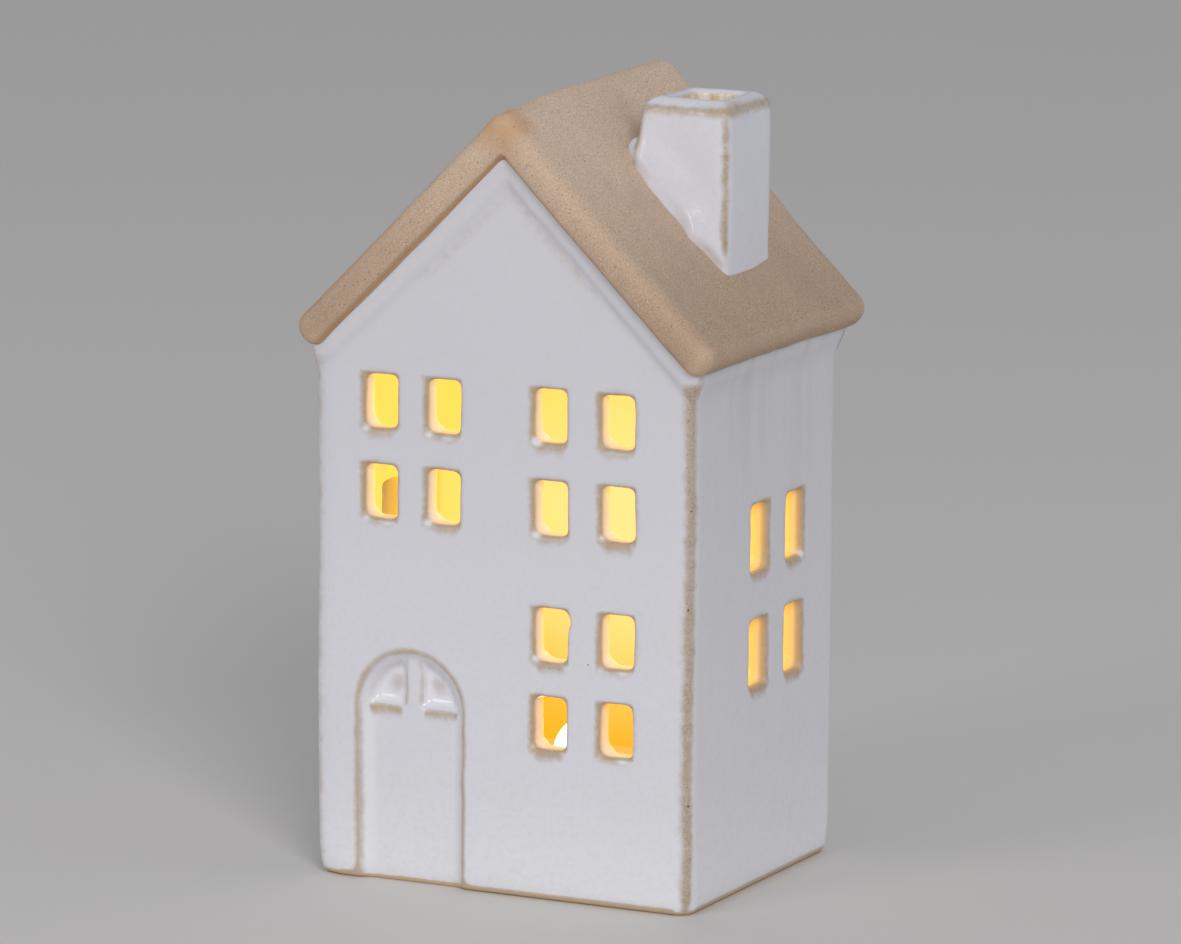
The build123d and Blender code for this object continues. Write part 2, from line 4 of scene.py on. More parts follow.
import bmesh
import bpy
import numpy as np
from mathutils import Matrix, Vector, noise


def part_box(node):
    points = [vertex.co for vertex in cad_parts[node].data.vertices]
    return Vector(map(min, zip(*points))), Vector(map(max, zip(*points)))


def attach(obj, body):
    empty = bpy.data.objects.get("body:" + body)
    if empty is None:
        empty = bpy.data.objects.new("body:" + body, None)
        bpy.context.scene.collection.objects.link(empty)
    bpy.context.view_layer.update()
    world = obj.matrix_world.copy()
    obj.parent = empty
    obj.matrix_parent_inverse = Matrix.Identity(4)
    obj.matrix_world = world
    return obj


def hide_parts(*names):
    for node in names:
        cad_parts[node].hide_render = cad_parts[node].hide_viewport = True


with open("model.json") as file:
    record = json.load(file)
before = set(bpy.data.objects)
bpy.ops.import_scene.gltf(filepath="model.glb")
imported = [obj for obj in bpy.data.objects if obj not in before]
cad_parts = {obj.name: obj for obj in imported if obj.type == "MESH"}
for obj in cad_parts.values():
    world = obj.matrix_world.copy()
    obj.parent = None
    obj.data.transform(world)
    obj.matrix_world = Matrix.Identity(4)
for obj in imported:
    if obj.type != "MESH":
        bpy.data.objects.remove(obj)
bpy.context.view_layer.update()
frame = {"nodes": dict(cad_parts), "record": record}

MM = 0.001

# Vector noise takes its offsets from this seed, so each run gives the same house
NOISE_SEED = 4
noise.seed_set(NOISE_SEED)

# The house as cast, read from the frame
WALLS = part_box("house_walls")
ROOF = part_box("roof")
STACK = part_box("chimney")
HALF_WIDTH = WALLS[1].x
HALF_DEPTH = WALLS[1].y
GABLE_TOP = WALLS[1].z

# What the frame's boxes do not tell
WALL_THICKNESS = 5 * MM
CORNER_RADIUS = 2.2 * MM
FLOOR_TOP = 8 * MM
EAVE_HEIGHT = 106 * MM
ROOF_PITCH = math.atan2(GABLE_TOP - EAVE_HEIGHT, HALF_WIDTH)
ROOF_THICKNESS = 7 * MM
RIDGE_HEIGHT = GABLE_TOP + ROOF_THICKNESS / math.cos(ROOF_PITCH)
FLUE_SIZE = (11 * MM, 12 * MM)
FLUE_MIDDLE = (25.3 * MM, 2.3 * MM)
STACK_LEAN = math.tan(math.radians(8))

# Windows: pairs across, rows upward
LEFT_PAIR = (-27.4 * MM, -13.8 * MM)
RIGHT_PAIR = (9.4 * MM, 23.7 * MM)
UPPER_ROWS = (95.7 * MM, 77.9 * MM)
LOWER_ROWS = (53.0 * MM, 35.4 * MM)
SIDE_PAIR = (-2.9 * MM, 13.6 * MM)
SIDE_ROWS = (69.7 * MM, 46.9 * MM)
FRONT_WINDOW = (6.9 * MM, 10.5 * MM)
SIDE_WINDOW = (7.8 * MM, 13.4 * MM)

# The arched door and its two quarter-round panes
DOOR_MIDDLE = -20.8 * MM
DOOR_SPRING = 35.2 * MM
DOOR_RADIUS = 11.5 * MM
DOOR_SPLAY = 1.2 * MM
PANE_RADIUS = 9.6 * MM
MULLION = 3.5 * MM

# Grain of the fine meshes, and rounds of softening that each gets
WALL_GRAIN = 0.66 * MM
ROOF_GRAIN = 0.75 * MM
STACK_GRAIN = 0.42 * MM
WALL_ROUNDS = 2
ROOF_ROUNDS = 4
STACK_ROUNDS = 9
WELD = 0.001 * MM


# Meshes

def merged(node):
    """A copy of a CAD node's mesh as a bmesh, its loose triangles merged."""
    shape = bmesh.new()
    shape.from_mesh(frame["nodes"][node].data)
    bmesh.ops.remove_doubles(shape, verts=shape.verts, dist=WELD)
    return shape


def put_in_scene(name, shape):
    """A new object from a bmesh, which it frees."""
    mesh = bpy.data.meshes.new(name)
    shape.to_mesh(mesh)
    shape.free()
    piece = bpy.data.objects.new(name, mesh)
    bpy.context.scene.collection.objects.link(piece)
    return piece


def modify(piece, kind, **settings):
    """Runs one modifier on a piece and keeps its result as the mesh."""
    modifier = piece.modifiers.new(kind.lower(), kind)
    for setting, value in settings.items():
        setattr(modifier, setting, value)
    before = piece.data
    shaped = piece.evaluated_get(bpy.context.evaluated_depsgraph_get())
    after = bpy.data.meshes.new_from_object(shaped)
    piece.modifiers.clear()
    piece.data = after
    bpy.data.meshes.remove(before)
    after.name = piece.name


def points_of(piece):
    flat = np.empty(3 * len(piece.data.vertices), np.float32)
    piece.data.vertices.foreach_get("co", flat)
    return flat.reshape(-1, 3).astype(float)


def move_points(piece, points):
    piece.data.vertices.foreach_set("co", points.astype(np.float32).ravel())
    piece.data.update()


def normals_of(piece):
    flat = np.empty(3 * len(piece.data.vertices), np.float32)
    piece.data.vertex_normals.foreach_get("vector", flat)
    return flat.reshape(-1, 3).astype(float)


def edges_of(piece):
    flat = np.empty(2 * len(piece.data.edges), np.int32)
    piece.data.edges.foreach_get("vertices", flat)
    return flat.reshape(-1, 2)


def relaxed(values, edges, rounds):
    """Values per point, each drawn halfway to its neighbours' mean for some rounds."""
    count = np.bincount(edges.ravel(), minlength=len(values))
    for _ in range(rounds):
        sums = np.zeros_like(values)
        for axis in range(values.shape[1]):
            for here, there in ((0, 1), (1, 0)):
                weights = values[edges[:, there], axis]
                sums[:, axis] += np.bincount(edges[:, here], weights=weights, minlength=len(values))
        values = (values + sums / count[:, None]) / 2
    return values


def wander(points, stray):
    """A smooth noise vector at each point: how far it swings, over what length, and where it starts."""
    reach, length, place = stray
    start = Vector((place, 2 * place, 3 * place))
    return reach * np.array([noise.noise_vector(Vector(p) / length + start) for p in points])


def ramp(low, high, values):
    """0 at low, 1 at high, smooth between, whichever is greater."""
    share = np.clip((values - low) / (high - low), 0, 1)
    return share * share * (3 - 2 * share)


def bell(distances, width):
    """1 at no distance, and a bell about that wide round it."""
    return np.exp(-(distances / width) ** 2)


def flare(gaps, height, reach):
    """A hollow cove: how far a wall leans out at each gap from what it meets."""
    return reach * np.clip(1 - gaps / height, 0, 1) ** 2


def mark(piece, name, values):
    """Keeps a number per point on the mesh, for its material."""
    layer = piece.data.attributes.new(name, "FLOAT", "POINT")
    layer.data.foreach_set("value", values.astype(np.float32))


def mark_proud(piece, rounds, share=1.0):
    """How far each point stands proud of its softened surroundings, in millimetres, times a share."""
    points = points_of(piece)
    sunk = points - relaxed(points, edges_of(piece), rounds)
    mark(piece, "proud", share * np.einsum("ij,ij->i", sunk, normals_of(piece)) / MM)


def smooth_shade(piece):
    piece.data.polygons.foreach_set("use_smooth", np.ones(len(piece.data.polygons), bool))


# The glazed walls

# A window's rim of thin glaze, narrow or wide, and the stain below its sill
RIM_NARROW = 0.75 * MM
RIM_WIDE = 1.25 * MM
RIM_DRY_SHARE = 0.9
STAIN_FALL = 2.2 * MM
STAIN_LUCK = 0.7 * MM
STAIN_TOP = (-0.2 * MM, 0.5 * MM)
STAIN_SIDES = (1.2 * MM, -1.2 * MM)

# Glaze that gathers white at a window's wet lower corner, and in a drip below its sill
LUMP_FLATNESS = 1.3
LUMP_LEAST = 0.55 * MM
LUMP_LUCK = 0.4 * MM
DRIP_FLATNESS = 3
DRIP_FALL = 0.9 * MM
DRIP_SIZE = 0.45 * MM
DRIP_SIDESTEP = 0.6 * MM
BEAD_HEIGHT = 0.2 * MM

# A window's soft inner corner, and the one window whose rim was nicked
SOFT_CORNER = 3.2 * MM
CORNER_FILL = 0.75 * MM
CORNER_DEPTHS = (0.2 * WALL_THICKNESS, WALL_THICKNESS)
REVEAL_SKIN = 0.3 * MM
NICKED = (RIGHT_PAIR[0], LOWER_ROWS[0])
NICK_DEPTH = 0.6 * MM
NICK_SIZE = 1.2 * MM
NICK_RISE = 0.28

# How deep a window reaches, and how luck differs from one to the next
WINDOW_REACH = 1.5 * WALL_THICKNESS
LUCK_SIZE = 7 * MM
CHANCE_SHIFT = Vector((3.3, 5.7, 9.1))

# How far the door's panel and panes are pressed in, and how flat a pane's scoop is
DOOR_PRESS = 0.5 * MM
PANEL_EDGE = (-0.8 * MM, 2.0 * MM)
PANE_EDGE = (-0.2 * MM, 0.8 * MM)
PANE_SCOOP = 0.4

# Thin glaze on the door: its outline at the left and right, its sills, bars and blotches
LEFT_LINE = 0.7 * MM
LEFT_LINE_SPREAD = 0.4 * MM
LEFT_LINE_HEIGHTS = (2 * MM, -8 * MM)
RIGHT_LINE = 0.5 * MM
LINE_SHARE = 0.825
SILL_DROP = 0.3 * MM
SILL_ABOVE = 0.35 * MM
SILL_BELOW = 1.7 * MM
BAR_INSET = 0.2 * MM
BAR_WIDTH = 0.35 * MM
BAR_SHARE = 0.9
SOFT_END = 1.0 * MM
BLOTCH_SHARE = 0.7
BLOTCH_ACROSS = 4.4 * MM
BLOTCH_UP = 4.6 * MM
BLOTCH_SIZE = 2.0 * MM

# The foot: tucked under all round, and rounder at its corners
FOOT_ROUND = 4 * MM
FOOT_ROUND_HEIGHT = 7 * MM
FOOT_TUCK = 0.7 * MM
FOOT_TUCK_HEIGHT = 3.5 * MM
FOOT_TUCK_DEPTHS = (FOOT_ROUND, 0.3 * MM)

# Bare corners: how far they are worn on the front and on the side, at the left and at the right
WORN_ON_FRONT = (1.2 * MM, 2.1 * MM)
WORN_ON_SIDE = (1.1 * MM, 1.4 * MM)
WORN_SHARE = 1.4
WORN_LEFT_SHARE = 0.7
WORN_BACK_SHARE = 0.5
WORN_TOP = 2.2 * MM

# The roll and the cove of glaze under the roof's slopes, and the rubbed glaze below them
ROLL_PLACE = 2.4 * MM
ROLL_WIDTH = 1.2 * MM
ROLL_HEIGHT = 1.0 * MM
COVE_HEIGHT = 3.0 * MM
COVE_REACH = 2.7 * MM
RUB_PLACE = 4.8 * MM
RUB_WIDTH = 1.7 * MM
RUB_SHARE = 0.38
RUB_HEIGHTS = (112 * MM, 124 * MM)

# The flare under the eaves, the left wall's bow, and how far the walls reach up into the roof
EAVE_FLARE_HEIGHT = 7.0 * MM
EAVE_FLARE_REACH = 2.2 * MM
EAVE_LEFT_SHARE = 0.3
LEFT_BOW = 1.9 * MM
BOW_DEPTHS = (3.0 * MM, 0.5 * MM)
REACH_UP = 1.8 * MM
REACH_UP_GAPS = (1.2 * MM, 0.2 * MM)
REACH_UP_DEPTHS = (2.5 * MM, 1.0 * MM)

# How the cast walls and the hand-cut windows stray: how far, over what length, from where in the noise
WALL_STRAY = (0.4 * MM, 42 * MM, 3.1)
CUT_STRAY = (0.2 * MM, 5 * MM, 7.7)
CUT_STRAY_ON_FACE = 0.12
STEADY_FOOT = (1.0 * MM, 6.0 * MM)

# What stands proud is told this far from the roof, the windows and the corners
PROUD_ROUNDS = 10
PROUD_BELOW_ROOF = (1.0 * MM, 4.0 * MM)
PROUD_OFF_WINDOWS = 1.5 * MM
PROUD_OFF_CORNERS = (2.0 * MM, 4.5 * MM)

# The window reveals: how deep they start, and how far off a window's edge they end
REVEAL_DEPTHS = (0.2 * MM, WALL_THICKNESS)
REVEAL_GAPS = (0.7 * MM, 0.3 * MM)

# The outer faces' points lie in this skin; plain points inside are thinned out
SKIN = 1.2 * MM
PLAIN_DEPTH = 0.7 * WALL_THICKNESS
PLAIN_GAP = 2.0 * MM
PLAIN_LOSS = 0.97


def all_windows():
    """Each window: the axis it faces, which way, its middle across and up, its size and its wet side."""
    rows = [(z, LEFT_PAIR + RIGHT_PAIR) for z in UPPER_ROWS] + [(z, RIGHT_PAIR) for z in LOWER_ROWS]
    for z, columns in rows:
        for x in columns:
            yield 1, -1, x, z, FRONT_WINDOW, -1
    for way in (1, -1):
        for z in SIDE_ROWS:
            for y in SIDE_PAIR:
                yield 0, way, way * y, z, SIDE_WINDOW, way


def depth_inside(points):
    """How deep each point lies behind the walls' outer faces."""
    return np.minimum(HALF_WIDTH - np.abs(points[:, 0]), HALF_DEPTH - np.abs(points[:, 1]))


def below_roof(points):
    """How far each point lies below the roof's underside, square to it."""
    fall = np.abs(points[:, 0]) * math.tan(ROOF_PITCH)
    return (GABLE_TOP - fall - points[:, 2]) * math.cos(ROOF_PITCH)


def thin_rim(u, side, over, under, gap, luck):
    """Where glaze thinned on a window's rim, and ran off below its sill."""
    wide = np.where((over <= side) & (u > 0), RIM_WIDE, RIM_NARROW)
    rim = bell(gap, wide) * np.where(u > 0, 1.0, RIM_DRY_SHARE)
    stain = bell(np.maximum(under, 0), STAIN_FALL - STAIN_LUCK * luck)
    stain *= ramp(*STAIN_TOP, under) * ramp(*STAIN_SIDES, side)
    return np.maximum(rim, (0.9 - 0.3 * luck) * stain)


def glaze_beads(u, under, half, luck, chance):
    """Where glaze gathers white: a lump at the wet lower corner, and with luck a drip below the sill."""
    lump = np.hypot((u - half + (chance - 0.5) * MM) / LUMP_FLATNESS, under - (0.1 + 0.9 * luck) * MM)
    drip = np.hypot((u + (1 + 3 * luck) * DRIP_SIDESTEP) / DRIP_FLATNESS, under - DRIP_FALL)
    beads = (0.35 + 0.65 * chance) * bell(lump, LUMP_LEAST + LUMP_LUCK * chance)
    return beads + max(0, 1.5 * luck) * bell(drip, DRIP_SIZE)


def window_marks(points, depth):
    """Marks round the windows: thin glaze, white beads, the gap to the nearest, and moves of their edges."""
    halo = np.zeros(len(points))
    bead = np.zeros(len(points))
    gaps = np.full(len(points), HALF_WIDTH)
    moves = np.zeros_like(points)
    for axis, way, across, up, size, wet in all_windows():
        wall = (HALF_WIDTH, HALF_DEPTH)[axis]
        near = way * points[:, axis] > wall - WINDOW_REACH
        spot = Vector((across, up, axis * way * WALL_THICKNESS)) / LUCK_SIZE
        luck = noise.noise(spot)
        chance = 0.5 + 0.9 * noise.noise(spot + CHANCE_SHIFT)
        half = size[0] / 2
        u = wet * (points[near, 1 - axis] - across)
        v = points[near, 2] - up
        side = np.abs(u) - half
        over = v - size[1] / 2
        under = -v - size[1] / 2
        gap = np.hypot(np.maximum(side, 0), np.maximum(np.maximum(over, under), 0))
        halo[near] = np.maximum(halo[near], thin_rim(u, side, over, under, gap, luck))
        bead[near] = np.maximum(bead[near], glaze_beads(u, under, half, luck, chance))
        gaps[near] = np.minimum(gaps[near], gap)
        fill = np.clip(1 - np.hypot(u - half, under) / SOFT_CORNER, 0, 1) ** 2
        fill *= CORNER_FILL * ramp(*CORNER_DEPTHS, depth[near]) * (gap < REVEAL_SKIN)
        moves[near, 1 - axis] -= wet * fill
        moves[near, 2] += fill
        if (across, up) == NICKED:
            nick = NICK_DEPTH * bell(np.hypot(u + half, v - NICK_RISE * size[1]), NICK_SIZE)
            moves[near, 1 - axis] -= wet * nick
    return halo, np.minimum(bead, 1), gaps, moves


def door_marks(points):
    """How far the door is worked in, and where glaze thinned along its outline, bars and sills."""
    across = np.abs(points[:, 0] - DOOR_MIDDLE)
    up = points[:, 2] - DOOR_SPRING
    on_door = (points[:, 1] < WALL_THICKNESS - HALF_DEPTH) & (across < DOOR_RADIUS + MULLION)
    in_door = DOOR_RADIUS - DOOR_SPLAY - np.hypot(across, np.maximum(up, 0))
    in_arch = PANE_RADIUS - np.hypot(across, up)
    beside = across - MULLION / 2
    in_pane = np.minimum(np.minimum(in_arch, PANE_SCOOP * up), beside)
    press = DOOR_PRESS * (ramp(*PANE_EDGE, in_pane) + ramp(*PANEL_EDGE, in_door))
    left_line = LEFT_LINE + LEFT_LINE_SPREAD * ramp(*LEFT_LINE_HEIGHTS, up)
    line = bell(in_door + DOOR_SPLAY, np.where(points[:, 0] < DOOR_MIDDLE, left_line, RIGHT_LINE))
    below = up + SILL_DROP
    sill = bell(below, np.where(below > 0, SILL_ABOVE, SILL_BELOW))
    sill *= ramp(0, SOFT_END, beside) * ramp(-SOFT_END / 2, SOFT_END / 2, in_arch)
    bar = bell(beside + BAR_INSET, BAR_WIDTH) * ramp(0, SOFT_END, up) * ramp(-SOFT_END, 0, in_arch)
    blotch = bell(np.hypot(across - BLOTCH_ACROSS, up - BLOTCH_UP), BLOTCH_SIZE)
    thin = np.maximum.reduce((LINE_SHARE * line, sill, BAR_SHARE * bar, BLOTCH_SHARE * blotch))
    return press * on_door, thin * on_door


def foot_pull(inset, height):
    """How far the foot is drawn in along X and Y: tucked under all round, and with rounder corners."""
    nook = np.clip(CORNER_RADIUS - inset, 0, None)
    in_nook = nook.min(axis=1) > 0
    skin = np.where(in_nook, CORNER_RADIUS - np.linalg.norm(nook, axis=1), inset.min(axis=1))
    out = np.clip(FOOT_ROUND - inset, 0, None)
    reach = np.maximum(np.linalg.norm(out, axis=1), WELD)
    rounder = np.clip(reach - FOOT_ROUND + skin, 0, None) * ramp(FOOT_ROUND_HEIGHT, 0, height)
    tuck = flare(height, FOOT_TUCK_HEIGHT, FOOT_TUCK) * ramp(*FOOT_TUCK_DEPTHS, skin)
    return out * ((rounder + tuck) / reach)[:, None]


def worn_corners(points, from_side, from_front):
    """Where the walls' upright corners lost their glaze: most at the right front."""
    left = points[:, 0] < 0
    worn = bell(from_side, np.where(left, *WORN_ON_FRONT)) * bell(from_front, np.where(left, *WORN_ON_SIDE))
    worn *= np.where(left, WORN_LEFT_SHARE, 1.0) * np.where(points[:, 1] > 0, WORN_BACK_SHARE, 1.0)
    return WORN_SHARE * worn * ramp(0, WORN_TOP, EAVE_HEIGHT - points[:, 2])


def thin_out(piece, plain):
    """Takes most points out of the plain parts of a mesh."""
    piece.vertex_groups.new(name="plain").add(np.flatnonzero(plain).tolist(), 1.0, "REPLACE")
    modify(piece, "DECIMATE", ratio=1 - PLAIN_LOSS * plain.mean(), vertex_group="plain")


def make_walls():
    """The glazed body: soft cast walls with a roll under the roof and hand-cut windows."""
    piece = put_in_scene("glazed_walls", merged("house_walls"))
    modify(piece, "REMESH", mode="VOXEL", voxel_size=WALL_GRAIN)
    points = relaxed(points_of(piece), edges_of(piece), WALL_ROUNDS)
    from_side = HALF_WIDTH - np.abs(points[:, 0])
    from_front = HALF_DEPTH - np.abs(points[:, 1])
    depth = np.minimum(from_side, from_front)
    on_front = from_front < SKIN
    on_side = from_side < SKIN
    left = points[:, 0] < 0
    gap = below_roof(points)
    worn = worn_corners(points, from_side, from_front)
    halo, bead, gaps, moves = window_marks(points, depth)
    press, thin = door_marks(points)

    # Cast and cut by hand: what stands proud is read before the roof's roll is laid on
    loose = ramp(*STEADY_FOOT, points[:, 2])[:, None]
    cuts = wander(points, CUT_STRAY)
    cuts[on_front, 1] *= CUT_STRAY_ON_FACE
    cuts[on_side, 0] *= CUT_STRAY_ON_FACE
    points += moves + loose * (cuts + wander(points, WALL_STRAY))
    points[:, 1] += press
    move_points(piece, points)
    clear = ramp(*PROUD_BELOW_ROOF, gap) * (1 - 0.8 * bell(gaps, PROUD_OFF_WINDOWS))
    clear *= ramp(*PROUD_OFF_CORNERS, np.maximum(from_side, from_front))
    mark_proud(piece, PROUD_ROUNDS, clear)

    # Roll, cove and flare under the roof, then the foot, the bow and the beads of glaze
    height = points[:, 2].copy()
    rake = ROLL_HEIGHT * bell(gap - ROLL_PLACE, ROLL_WIDTH) + flare(gap, COVE_HEIGHT, COVE_REACH)
    rub = RUB_SHARE * bell(gap - RUB_PLACE, RUB_WIDTH) * on_front * ramp(*RUB_HEIGHTS, height)
    eave = flare(EAVE_HEIGHT - height, EAVE_FLARE_HEIGHT, EAVE_FLARE_REACH)
    eave *= np.where(left, EAVE_LEFT_SHARE, 1.0)
    inset = np.stack((from_side, from_front), axis=1)
    points[:, :2] -= np.sign(points[:, :2]) * foot_pull(inset, height)
    points[:, 1] += np.where(on_front, rake, 0) * np.sign(points[:, 1])
    points[:, 0] += np.where(on_side, eave, 0) * np.sign(points[:, 0])
    points[:, 0] -= LEFT_BOW * ramp(*BOW_DEPTHS, from_side) * left
    points[:, 2] += REACH_UP * ramp(*REACH_UP_GAPS, gap) * ramp(*REACH_UP_DEPTHS, depth)
    points += (BEAD_HEIGHT * bead * (depth < WALL_THICKNESS / 2))[:, None] * normals_of(piece)
    points[:, 2] = np.maximum(points[:, 2], 0)
    move_points(piece, points)

    mark(piece, "halo", halo)
    mark(piece, "line", np.maximum(thin, rub))
    mark(piece, "edge", worn)
    mark(piece, "bead", bead)
    mark(piece, "reveal", ramp(*REVEAL_DEPTHS, depth) * ramp(*REVEAL_GAPS, gaps))
    thin_out(piece, (depth > PLAIN_DEPTH) & (gaps > PLAIN_GAP))
    smooth_shade(piece)
    return piece


# The bare roof

# The ridge bows up from its front end, and the slope is raised behind the chimney
CROWN_LEAST = 0.2 * MM
CROWN_RISE = 2.2 * MM
CROWN_ALONG = (-1.0, -0.2)
CROWN_ACROSS = (34 * MM, 2 * MM)
TOP_DEPTHS = (-8 * MM, 0)
RAISED_HEIGHT = 1.6 * MM
RAISED_SIZE = 9 * MM
RAISED_SETBACK = 1 * MM

# How the roof strays, in long swells and in small dents
ROOF_SWELLS = (0.5 * MM, 30 * MM, 5.3)
ROOF_DENTS = (0.12 * MM, 5 * MM, 1.9)

# Toasted clay: a flush at the ridge's front end and along the glaze, and a darker seam above it
FLUSH_SIZE = 9 * MM
FLUSH_SEAM = 0.9 * MM
FLUSH_SEAM_SHARE = 0.6
SEAM_PLACE = 0.6 * MM
SEAM_WIDTH = 0.5 * MM
OUTSIDE_EDGE = (-1.0 * MM, 0.5 * MM)

# Where the roof's underside lies in the room: how far inside the walls, and how far up its edge
ROOM_INSETS = (0.5 * MM, 2 * MM)
ROOM_GAPS = (-2.5 * MM, -0.5 * MM)


def make_roof():
    """The bare roof: rounded rims, and a ridge that bows up from its front end."""
    piece = put_in_scene("sandy_roof", merged("roof"))
    modify(piece, "REMESH", mode="VOXEL", voxel_size=ROOF_GRAIN)
    points = relaxed(points_of(piece), edges_of(piece), ROOF_ROUNDS)
    on_top = ramp(*TOP_DEPTHS, -below_roof(points) - ROOF_THICKNESS)
    crown = CROWN_LEAST + CROWN_RISE * ramp(*CROWN_ALONG, points[:, 1] / ROOF[1].y)
    crown *= ramp(*CROWN_ACROSS, np.abs(points[:, 0]))
    corner = np.array((STACK[1].x + RAISED_SETBACK, STACK[1].y + RAISED_SETBACK))
    raised = RAISED_HEIGHT * bell(np.linalg.norm(points[:, :2] - corner, axis=1), RAISED_SIZE)
    points[:, 2] += (crown + raised) * on_top
    points += wander(points, ROOF_SWELLS) + wander(points, ROOF_DENTS)
    move_points(piece, points)

    mark_proud(piece, PROUD_ROUNDS)
    ridge_end = np.array((0, ROOF[0].y, ROOF[1].z))
    outside = ramp(*OUTSIDE_EDGE, -depth_inside(points))
    below = below_roof(points)
    flush = bell(np.linalg.norm(points - ridge_end, axis=1), FLUSH_SIZE)
    mark(piece, "flush", flush + FLUSH_SEAM_SHARE * bell(below, FLUSH_SEAM) * outside)
    mark(piece, "seam", bell(below + SEAM_PLACE, SEAM_WIDTH) * outside)
    in_room = ramp(*ROOM_INSETS, depth_inside(points) - WALL_THICKNESS)
    mark(piece, "room", in_room * ramp(*ROOM_GAPS, below))
    smooth_shade(piece)
    return piece


# The glazed chimney

# One drop of glaze on the roof, at the chimney's upper front corner
DROP_RADIUS = 2.5 * MM
DROP_STRETCH = 1.4
DROP_PLACE = (0.1 * MM, 3.4 * MM, 2.2 * MM)
DROP_BORDER = (2.8 * MM, 4.0 * MM)

# The lip of glaze at the chimney's foot, and how far it runs out or holds back
LIP_HEIGHT = 4.0 * MM
LIP_REACH = 1.4 * MM
LIP_RUN = (1.8, 6 * MM, 2.2)
LIP_SINK = 1.6 * MM
LIP_SINK_HEIGHTS = (0.9 * MM, 0.2 * MM)

# The front face: a swell above the roof and a dip higher up
SWELL_HEIGHT = 0.9 * MM
SWELL_STRAY = (3 * MM, 12 * MM, 6.4)
SWELL_START = (0, 3 * MM)
SWELL_END = (9 * MM, 2 * MM)
SWELL_DEPTHS = (3.0 * MM, 0)
DIP_SHARE = 0.5
DIP_PLACE = (9 * MM, 11 * MM)
DIP_SIZE = 5 * MM

# The pillowed top, and how far the whole stack strays
PILLOW_DROP = 1.2 * MM
PILLOW_ACROSS = (0.8 * MM, 4.2 * MM)
PILLOW_HEIGHT = 4.0 * MM
STACK_STRAY = (0.3 * MM, 14 * MM, 8.8)

# Bare edges: the two front corners and the band below the top
STACK_WORN_ON_FRONT = 1.4 * MM
STACK_WORN_ON_SIDE = 1.2 * MM
STACK_WORN_SHARE = 1.3
STACK_WORN_HEIGHTS = (1.0 * MM, 5.0 * MM)
BAND_SHARE = 0.8
BAND_TOP = (-0.3 * MM, 0.6 * MM)
BAND_FOOT = (5.5 * MM, 0.8 * MM)

# What stands proud is told above the lip and below the top, and counts half
STACK_PROUD_ROUNDS = 8
STACK_PROUD_SHARE = 0.5
STACK_PROUD_HEIGHTS = (2.5 * MM, 4.5 * MM)
STACK_PROUD_DEPTHS = (0.2 * MM, 1.0 * MM)

# The flue: points within its skin, and depths over which it turns bare, darkens and glows
FLUE_SKIN = 2 * MM
FLUE_BARE_DEPTHS = (0.1 * MM, 1.2 * MM)
FLUE_REVEAL_DEPTHS = (0.3 * MM, 1.2 * MM)
FLUE_GLOW_DEPTHS = (0.5 * MM, 8 * MM)
FLUE_GLOW = 0.4


def above_slope(points):
    """How far each point lies above the roof's upper face, square to it."""
    slope = RIDGE_HEIGHT - np.abs(points[:, 0]) * math.tan(ROOF_PITCH)
    return (points[:, 2] - slope) * math.cos(ROOF_PITCH)


def outside_flue(points):
    """How far each point lies outside the flue's walls."""
    off_axis = np.abs(points[:, :2] - np.array(FLUE_MIDDLE))
    return np.maximum(off_axis[:, 0] - FLUE_SIZE[0] / 2, off_axis[:, 1] - FLUE_SIZE[1] / 2)


def front_swell(points, above):
    """How far the chimney's front face swells out, as a share: most just above the roof."""
    stray = wander(points, SWELL_STRAY)[:, 0]
    swell = ramp(*SWELL_END, above + stray) * ramp(*SWELL_START, above)
    across = points[:, 0] - STACK[0].x - DIP_PLACE[0]
    up = (points[:, 2] - STACK[1].z + DIP_PLACE[1]) / 2
    return swell - DIP_SHARE * bell(np.hypot(across, up), DIP_SIZE)


